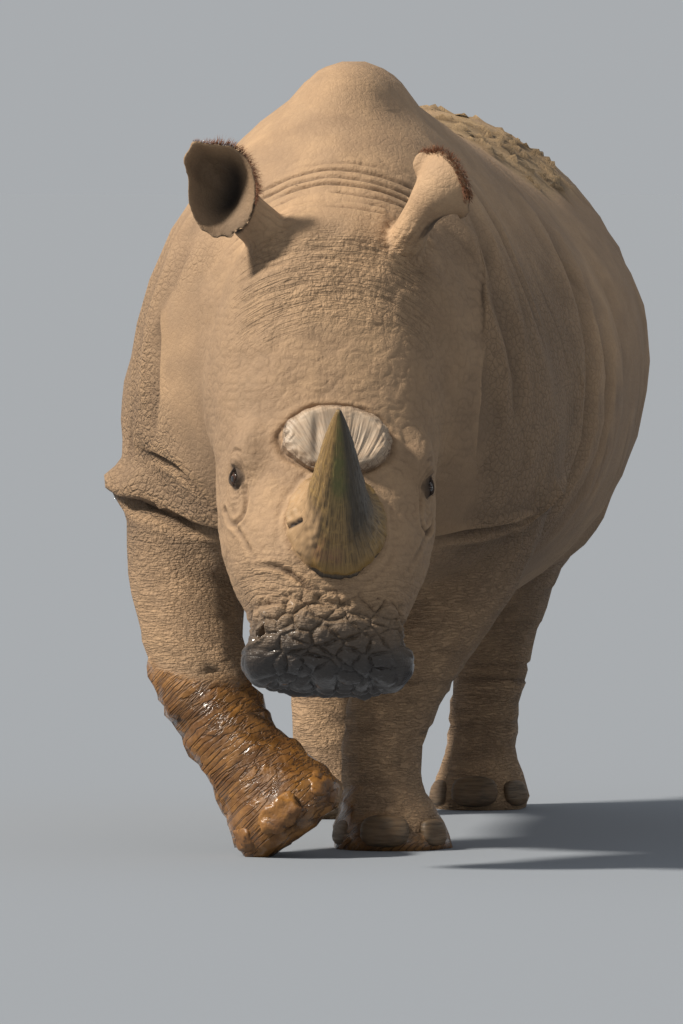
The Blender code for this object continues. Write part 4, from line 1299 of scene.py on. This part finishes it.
def plate_finish():
    """Weathered keratin: pale beige with bluish and pink washes, grey fibres, a darker rim."""
    made, g, shader = finish("sawn horn")
    here = g.here()
    about, out = g.times(g.mask("fan"), 3.0), g.times(g.mask("outward"), 2.0)
    fibres = g.noise(g.vector(about, out), 14.0, 5.0, 0.6)
    patch = g.placed(MOTTLE, here, 16.0)["Mask"]
    flake = g.placed(COBBLE, here, 70.0)
    rim = g.span(g.mask("off_middle"), 0.84, 1.0)
    base = g.mix(g.span(fibres, 0.30, 0.60), paint(144, 125, 102), paint(182, 161, 134))
    base = g.stain(base, patch, 0.30, paint(132, 128, 128))
    base = g.stain(base, g.less(1.0, patch), 0.25, paint(158, 122, 103))
    base = g.stain(base, rim, g.times(flake["Cracks"], 0.8), paint(70, 46, 34))
    base = g.stain(base, rim, 0.35, paint(118, 92, 68))
    relief = g.plus(g.times(fibres, 0.8), g.times(g.times(rim, flake["Height"]), 0.6))
    rough = g.span(fibres, 0.3, 0.7, 0.75, 0.5)
    g.link(shader, Base_Color=base, Roughness=rough, Normal=g.bump(relief, 0.0009))
    return made


piece("rear_horn_plate", plate_mesh, plate_finish(), ["horn_rear_stump"])

# %% [markdown]
# ## Toenails
# Each foot has three broad nails, blunt as a hoof's edge, set round its front. One
# nail is a rounded box squeezed flat: a ball whose sines and cosines are raised to
# a power below one, so that its faces fill out, with growth lines across it.

# %% Toenails
FEET = {  # where each foot stands, and how far its side and front reach
    "fore_left": (Matrix.Translation((0.112, -0.040, 0)), (0.130, 0.140)),
    "hind_left": (Matrix.Translation((0.102, 1.56, 0)), (0.116, 0.132)),
    "hind_right": (Matrix.Translation((-0.198, 1.16, 0)), (0.116, 0.132)),
    "fore_right": (
        Matrix.Translation((-0.062, -0.346, 0.076)) @ Euler((0.15, -0.64, 0)).to_matrix().to_4x4(),
        (0.132, 0.136),
    ),
}
TOES = (  # side, angle round the foot, and the nail's half width and half height
    ("right", -0.98, 0.036, 0.030), ("middle", 0.0, 0.054, 0.036), ("left", 0.98, 0.036, 0.030)
)
NAIL_THICK, NAIL_IN = 0.016, 0.010  # half thickness, and how deep its middle lies in the foot


def power(value, exponent):
    """The value's sign, with its size raised to the exponent."""
    return np.sign(value) * np.abs(value) ** exponent


def nail_surface(half_width, thick, half_height, seed, rows=26, columns=48):
    """Latitude v and longitude w of a ball, with cos and sin raised to 0.72 (0.80 for the height)
    and scaled to the nail's half sizes; growth lines follow the height."""
    v = np.linspace(-math.pi / 2, math.pi / 2, rows + 2)[1:-1, None]
    w = np.linspace(0, 2 * math.pi, columns, endpoint=False)
    flat = power(np.cos(v), 0.72)
    x, y = flat * power(np.cos(w), 0.72), flat * power(np.sin(w), 0.72)
    z = power(np.sin(v), 0.80) + 0 * w
    lines = noise(np.stack([x * 0.4, y * 0.4, z * 7], -1).reshape(-1, 3), 1.0, seed).reshape(x.shape)
    grow = 1 + 0.05 * lines
    return np.stack([x * half_width * grow, y * thick * grow, z * half_height], -1)


def nail_finish():
    """Worn grey-brown keratin with lines across it, and earth in them."""
    made, g, shader = finish("nail")
    here = g.here()
    squeezed = g.add("ShaderNodeMapping", {"Vector": here, "Scale": (0.25, 0.25, 2.2)}).outputs[0]
    lines = g.noise(squeezed, 90.0, 4.0, 0.6)
    patch = g.placed(MOTTLE, here, 30.0)["Mask"]
    base = g.mix(g.span(lines, 0.35, 0.65), paint(70, 57, 43), paint(104, 86, 65))
    base = g.stain(base, patch, 0.5, paint(108, 80, 50))
    rough = g.span(lines, 0.3, 0.7, 0.7, 0.5)
    g.link(shader, Base_Color=base, Roughness=rough, Normal=g.bump(lines, 0.0015))
    return made


def clay_finish():
    """The wet clay that hides the stepping foot's nails, darker in the low spots between its lumps: a painted
    shade.
    """
    made, g, shader = finish("wet clay")
    lumps = g.noise(g.here(), 70.0, 4.0)
    patch = g.placed(MOTTLE, g.here(), 17.0)["Mask"]
    base = g.mix(g.span(lumps, 0.45, 0.30), g.mix(patch, *WET_CLAY), paint(60, 38, 20))
    rough = g.span(patch, 0.0, 1.0, 0.55, 0.3)
    g.link(shader, Base_Color=base, Roughness=rough, Normal=g.bump(lumps, 0.003))
    return made


NAIL, CLAY = nail_finish(), clay_finish()
for foot, (stand, (side_reach, fore_reach)) in FEET.items():
    muddy = foot == "fore_right"
    for number, (label, angle, half_width, half_height) in enumerate(TOES):
        local = nail_surface(half_width, NAIL_THICK, half_height, 131 + number)
        across, fore = math.sin(angle) * (side_reach - NAIL_IN), -math.cos(angle) * (fore_reach - NAIL_IN)
        turn = Euler((math.radians(-14), 0, angle)).to_matrix()
        middle = np.array(stand @ Vector((across, fore, 0.008 + half_height)) + SHIFT)
        rows = local @ np.array(stand.to_3x3() @ turn).T + middle
        if muddy:
            lump = 0.93 + 0.22 * noise(rows.reshape(-1, 3), 0.018, 141).reshape(rows.shape[:2])
            rows = middle + (rows - middle) * lump[..., None]
        rows[..., 2] = np.maximum(rows[..., 2], 0.0005)
        name = f"{foot}_{label}"
        piece(f"toenail_{name}", grid_mesh("nail", rows), CLAY if muddy else NAIL, [f"nail_{name}"])

# %% [markdown]
# ## Eyes
# The eyeball is small and nearly black: a brown iris with a dark pupil, and a
# clear wet cornea that bulges a little. The grid runs from the middle of the pupil
# to the back of the ball, and its distance from the pupil is kept as a mask.

# %% Eyes
def eye_finish():
    """Colour by the angle from the pupil's middle, under a clear wet coat."""
    made, g, shader = finish("eye")
    angle = g.mask("from_pupil")
    streaks = g.noise(g.here(), 900.0, 3.0)
    iris = g.mix(g.span(streaks, 0.4, 0.6), paint(46, 26, 14), paint(84, 50, 26))
    colour = g.mix(g.span(angle, 0.30, 0.34), paint(5, 4, 4), iris)
    colour = g.mix(g.span(angle, 0.66, 0.74), colour, paint(22, 14, 11))
    colour = g.mix(g.span(angle, 0.95, 1.25), colour, paint(92, 66, 54))
    g.link(shader, Base_Color=colour, Roughness=g.span(streaks, 0.3, 0.7, 0.08, 0.12))
    shader.inputs["Coat Weight"].default_value = 1.0
    shader.inputs["Coat Roughness"].default_value = 0.02
    return made


def eye_surface(centre, look, up, rows=40, columns=48):
    """Centre + radius times the way at angle v from the look and w round it; the radius bulges by
    a bell of v over the iris."""
    right = np.cross(look, up)
    right /= np.linalg.norm(right)
    above = np.cross(right, look)
    v = np.linspace(0.04, math.pi - 0.04, rows)[:, None]
    w = np.linspace(0, 2 * math.pi, columns, endpoint=False)
    radius = EYE_RADIUS - 0.0006 + 0.0012 * bell(v, 0.62)
    ways = (np.cos(v) + 0 * w)[..., None] * look + (np.sin(v) * np.cos(w))[..., None] * right
    ways = ways + (np.sin(v) * np.sin(w))[..., None] * above
    return centre + (radius * np.ones_like(w))[..., None] * ways, v, w


EYE = eye_finish()
for side in EYE_SEAT:
    centre, out, along, up = eye_axes(side)
    look = out * 0.96 + along * 0.18 + up * (-0.05)
    rows, v, w = eye_surface(centre, look / np.linalg.norm(look), up)
    mesh = grid_mesh("eye", rows)
    mark(mesh, "from_pupil", np.append(np.repeat(v[:, 0], len(w)), (0.0, math.pi)))
    piece("eyeball_" + side, mesh, EYE, ["eye_" + side])

# %% [markdown]
# ## What hair there is
# A white rhinoceros is bare but for a fringe on the ears, lashes, and a tuft on
# the tail. One hair lock is a thin three-sided blade that tapers and bends: all
# locks of a piece are one array, and each has its own small patch of a UV map,
# at its root's place along the rim.

# %% Locks
PATCH = 0.003  # side of a lock's own patch on the map


def locks(name, roots, ways, bends, lengths, widths, spots):
    """Blade i: root + way t + bend t^2, at t = 0, 0.4, 0.75 and 1 of its length, with a triangle of
    the given width shrinking to a point; spots are the roots' places on the unwrapped rim."""
    t = np.array([0.0, 0.4, 0.75])
    size = np.array([1.0, 0.8, 0.45])
    ways = ways / np.linalg.norm(ways, axis=1, keepdims=True)
    side = np.cross(ways, bends + (0.013, 0.007, 0.003))  # the last term keeps it from being zero
    side /= np.linalg.norm(side, axis=1, keepdims=True)
    other = np.cross(ways, side)
    count = len(roots)
    path = ways[:, None] * t[:, None] + bends[:, None] * (t**2)[:, None]
    centre = roots[:, None] + lengths[:, None, None] * path
    corner = np.radians([90, 210, 330])
    ring = np.cos(corner)[:, None] * side[:, None] + np.sin(corner)[:, None] * other[:, None] * 0.5
    rings = centre[:, :, None] + ring[:, None] * (widths[:, None] * size)[:, :, None, None]
    tips = roots + lengths[:, None] * (ways + bends)
    points = np.concatenate([rings.reshape(count, 9, 3), tips[:, None]], 1)

    # One blade has ten points: three rings of three, and the tip.
    ends = np.array([(0, 2, 1), (6, 7, 9), (7, 8, 9), (8, 6, 9)])
    walls = [(r + c, r + (c + 1) % 3, r + 3 + (c + 1) % 3, r + 3 + c) for r in (0, 3) for c in range(3)]
    start = (np.arange(count) * 10)[:, None, None]
    faces = (start + ends).reshape(-1, 3).tolist() + (start + np.array(walls)).reshape(-1, 4).tolist()
    mesh = bpy.data.meshes.new(name)
    mesh.from_pydata(points.reshape(-1, 3).tolist(), [], faces)
    mesh.update()
    patch = PATCH * np.array([(c / 2, r / 3) for r in range(3) for c in range(3)] + [(0.5, 1.0)])
    spread = (spots[:, None] + patch).reshape(-1, 2)
    corners = read(mesh.loops, "vertex_index", 1, np.int32)[:, 0]
    uv = mesh.uv_layers.new(name="OFBake")
    uv.data.foreach_set("uv", spread[corners].astype(np.float32).ravel())
    mark(mesh, "tip", np.tile(np.append(np.repeat(t, 3), 1.0), count))
    face_out(mesh)
    return mesh


# %% Hair finishes
def hair_finish(name, root_colour, tip_colour, stray):
    """Colour runs from root to tip and differs a little from place to place."""
    made, g, shader = finish(name)
    patch = g.placed(MOTTLE, g.here(), 90.0)["Mask"]
    colour = g.stain(g.mix(g.mask("tip"), root_colour, tip_colour), patch, 0.5, stray)
    g.link(shader, Base_Color=colour, Roughness=g.span(patch, 0.0, 1.0, 0.5, 0.7))
    return made


FRINGE = hair_finish("ear fringe hair", paint(70, 42, 28), paint(132, 78, 46), paint(158, 104, 66))
BLACK_HAIR = hair_finish("coarse black hair", paint(30, 24, 20), paint(62, 46, 36), paint(84, 62, 48))
print("hair finishes:", FRINGE.name, "and", BLACK_HAIR.name)

# %% Ear fringes
# Roots lie on the rim and a little into the cup; locks point away from the ear's
# middle and lean towards its tip.
rng = np.random.default_rng(7)
for side, first, last in (("right", 60, 200), ("left", 58, 222)):
    count = 1000
    angle = np.radians(rng.uniform(first, last, count))
    back = rng.uniform(-0.004, 0.016, count)
    turn = np.array(EAR_TURN[side])
    across, tall = np.cos(angle), np.sin(angle)
    reach = ear_rim(angle) - 0.004 - 0.25 * np.maximum(back, 0)
    roots = np.column_stack([across * reach, back, tall * reach]) @ turn.T + np.array(EARS[side][0] + SHIFT)
    away = np.column_stack([across, rng.normal(0.15, 0.35, count), tall])
    sweep = np.column_stack([-tall, 0 * angle, across]) * rng.normal(0.45, 0.35, count)[:, None]
    degrees = np.degrees(angle)
    edge = smoothstep(degrees, first, first + 20) * (1 - smoothstep(degrees, last - 30, last))
    lengths = rng.uniform(0.006, 0.024, count) * (0.35 + 0.65 * edge)
    spots = np.column_stack([0.05 + 0.9 * (angle - angle.min()) / np.ptp(angle), 0.3 + 8 * back])
    bends = rng.normal(0, 0.12, (count, 3)) + (0, 0, -0.10)
    widths = rng.uniform(0.0003, 0.0007, count)
    name = "ear_fringe_" + side
    mesh = locks(name, roots, (away + sweep) @ turn.T, bends, lengths, widths, spots)
    piece(name, mesh, FRINGE)

# %% Tail tuft
# Roots lie round the last third of the tail, and the locks hang down.
low, high = (np.array(c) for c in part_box("tail"))
count = 1100
angle, share = rng.uniform(0, 2 * math.pi, count), rng.uniform(0, 1, count) ** 0.8
middle_x, middle_y = low[0] + 0.029, high[1] - 0.024
root_z = low[2] + 0.004 + 0.10 * (1 - share)
radius = 0.020 * np.sqrt(np.maximum(1 - share**3, 0.05))
across, back = np.cos(angle), np.sin(angle)
roots = np.column_stack([middle_x + radius * across, middle_y + 0.8 * radius * back, root_z])
ways = np.column_stack([0.35 * across, 0.28 * back, -np.ones(count)])
bends = rng.normal(0, 0.06, (count, 3)) + (0, 0, -0.15)
lengths, widths = rng.uniform(0.05, 0.13, count), rng.uniform(0.0007, 0.0014, count)
spots = np.column_stack([0.05 + 0.9 * angle / (2 * math.pi), 0.05 + 0.9 * share])
piece("tail_tuft", locks("tail_tuft", roots, ways, bends, lengths, widths, spots), BLACK_HAIR)

# %% Lashes
# They stand along the upper lid, and point out and down the face.
LASHES = 70
for side in EYE_SEAT:
    centre, out, along, up = eye_axes(side)
    share = rng.uniform(-0.8, 0.9, LASHES)
    a, b = HALF_LONG * share, HALF_HIGH * (1 - share**2) + 0.0012
    h = np.sqrt((EYE_RADIUS + LID) ** 2 - a**2 - b**2) - 0.001
    roots = centre + a[:, None] * along + b[:, None] * up + h[:, None] * out
    raised = 0.25 + 0.2 * rng.normal(size=LASHES)
    fanned = 0.5 * share + 0.1 * rng.normal(size=LASHES)
    ways = out + raised[:, None] * up + fanned[:, None] * along
    bends = -0.35 * up + 0 * ways
    lengths, widths = rng.uniform(0.008, 0.014, LASHES), np.full(LASHES, 0.0004)
    spots = np.column_stack([0.1 + 0.8 * (share + 1) / 2, np.full(LASHES, 0.5)])
    name = "lashes_" + side
    piece(name, locks(name, roots, ways, bends, lengths, widths, spots), BLACK_HAIR)

# %% [markdown]
# ## Stage
# A pale floor and an even surround, one lamp high on the animal's right that is as
# small and bright as a hazy sun, a weak fill from its left, and a long lens 26
# metres away, a little above the animal's middle. The floor's colour is chosen so
# that, lit, it meets the surround with no line.

# %% Floor and surround
floor_mesh = bpy.data.meshes.new("floor")
HALF_FLOOR = 400.0
square = [(x * HALF_FLOOR, y * HALF_FLOOR, 0) for x, y in ((-1, -1), (1, -1), (1, 1), (-1, 1))]
floor_mesh.from_pydata(square, [], [(0, 1, 2, 3)])
floor = put("floor", floor_mesh)
pale, _, shader = finish("pale floor")
shader.inputs["Base Color"].default_value = (0.2065, 0.228, 0.261, 1)
shader.inputs["Roughness"].default_value = 0.9
floor_mesh.materials.append(pale)

world = bpy.data.worlds.new("studio")
bpy.context.scene.world = world
world.use_nodes = True
sky = world.node_tree.nodes["Background"]
sky.inputs["Color"].default_value = (0.92, 0.96, 1.0, 1)
sky.inputs["Strength"].default_value = 0.43


# %% Lamps and camera
def aimed(obj, way):
    """Turns a lamp or camera to look along a way."""
    obj.rotation_euler = Vector(way).to_track_quat("-Z", "Y").to_euler()
    return obj


KEY_WAY = Vector((-0.66, -0.30, 0.69))  # from the animal to the key lamp
key = bpy.data.lights.new("key", "SUN")
key.energy, key.angle, key.color = 6.0, math.radians(7), (1.0, 0.93, 0.82)
aimed(put("key", key), -KEY_WAY)
fill = bpy.data.lights.new("fill", "AREA")
fill.size, fill.energy, fill.color = 16.0, 900, (0.84, 0.91, 1.0)
fill_lamp = put("fill", fill)
fill_lamp.location = (30.0, -50.0, 18.0)
aimed(fill_lamp, Vector((0, 0, 0.9)) - fill_lamp.location)
bpy.context.scene.view_settings.view_transform = "Standard"

lens = bpy.data.cameras.new("camera")
lens.lens, lens.sensor_width = 414.8, 36.0
lens.clip_end = 1000.0
camera = put("camera", lens)
camera.location = (3.606, -26.061, 1.531)
aimed(camera, Vector((-0.019, -0.324, 0.7376)) - camera.location)
bpy.context.scene.camera = camera
print("camera at", tuple(round(c, 3) for c in camera.location))
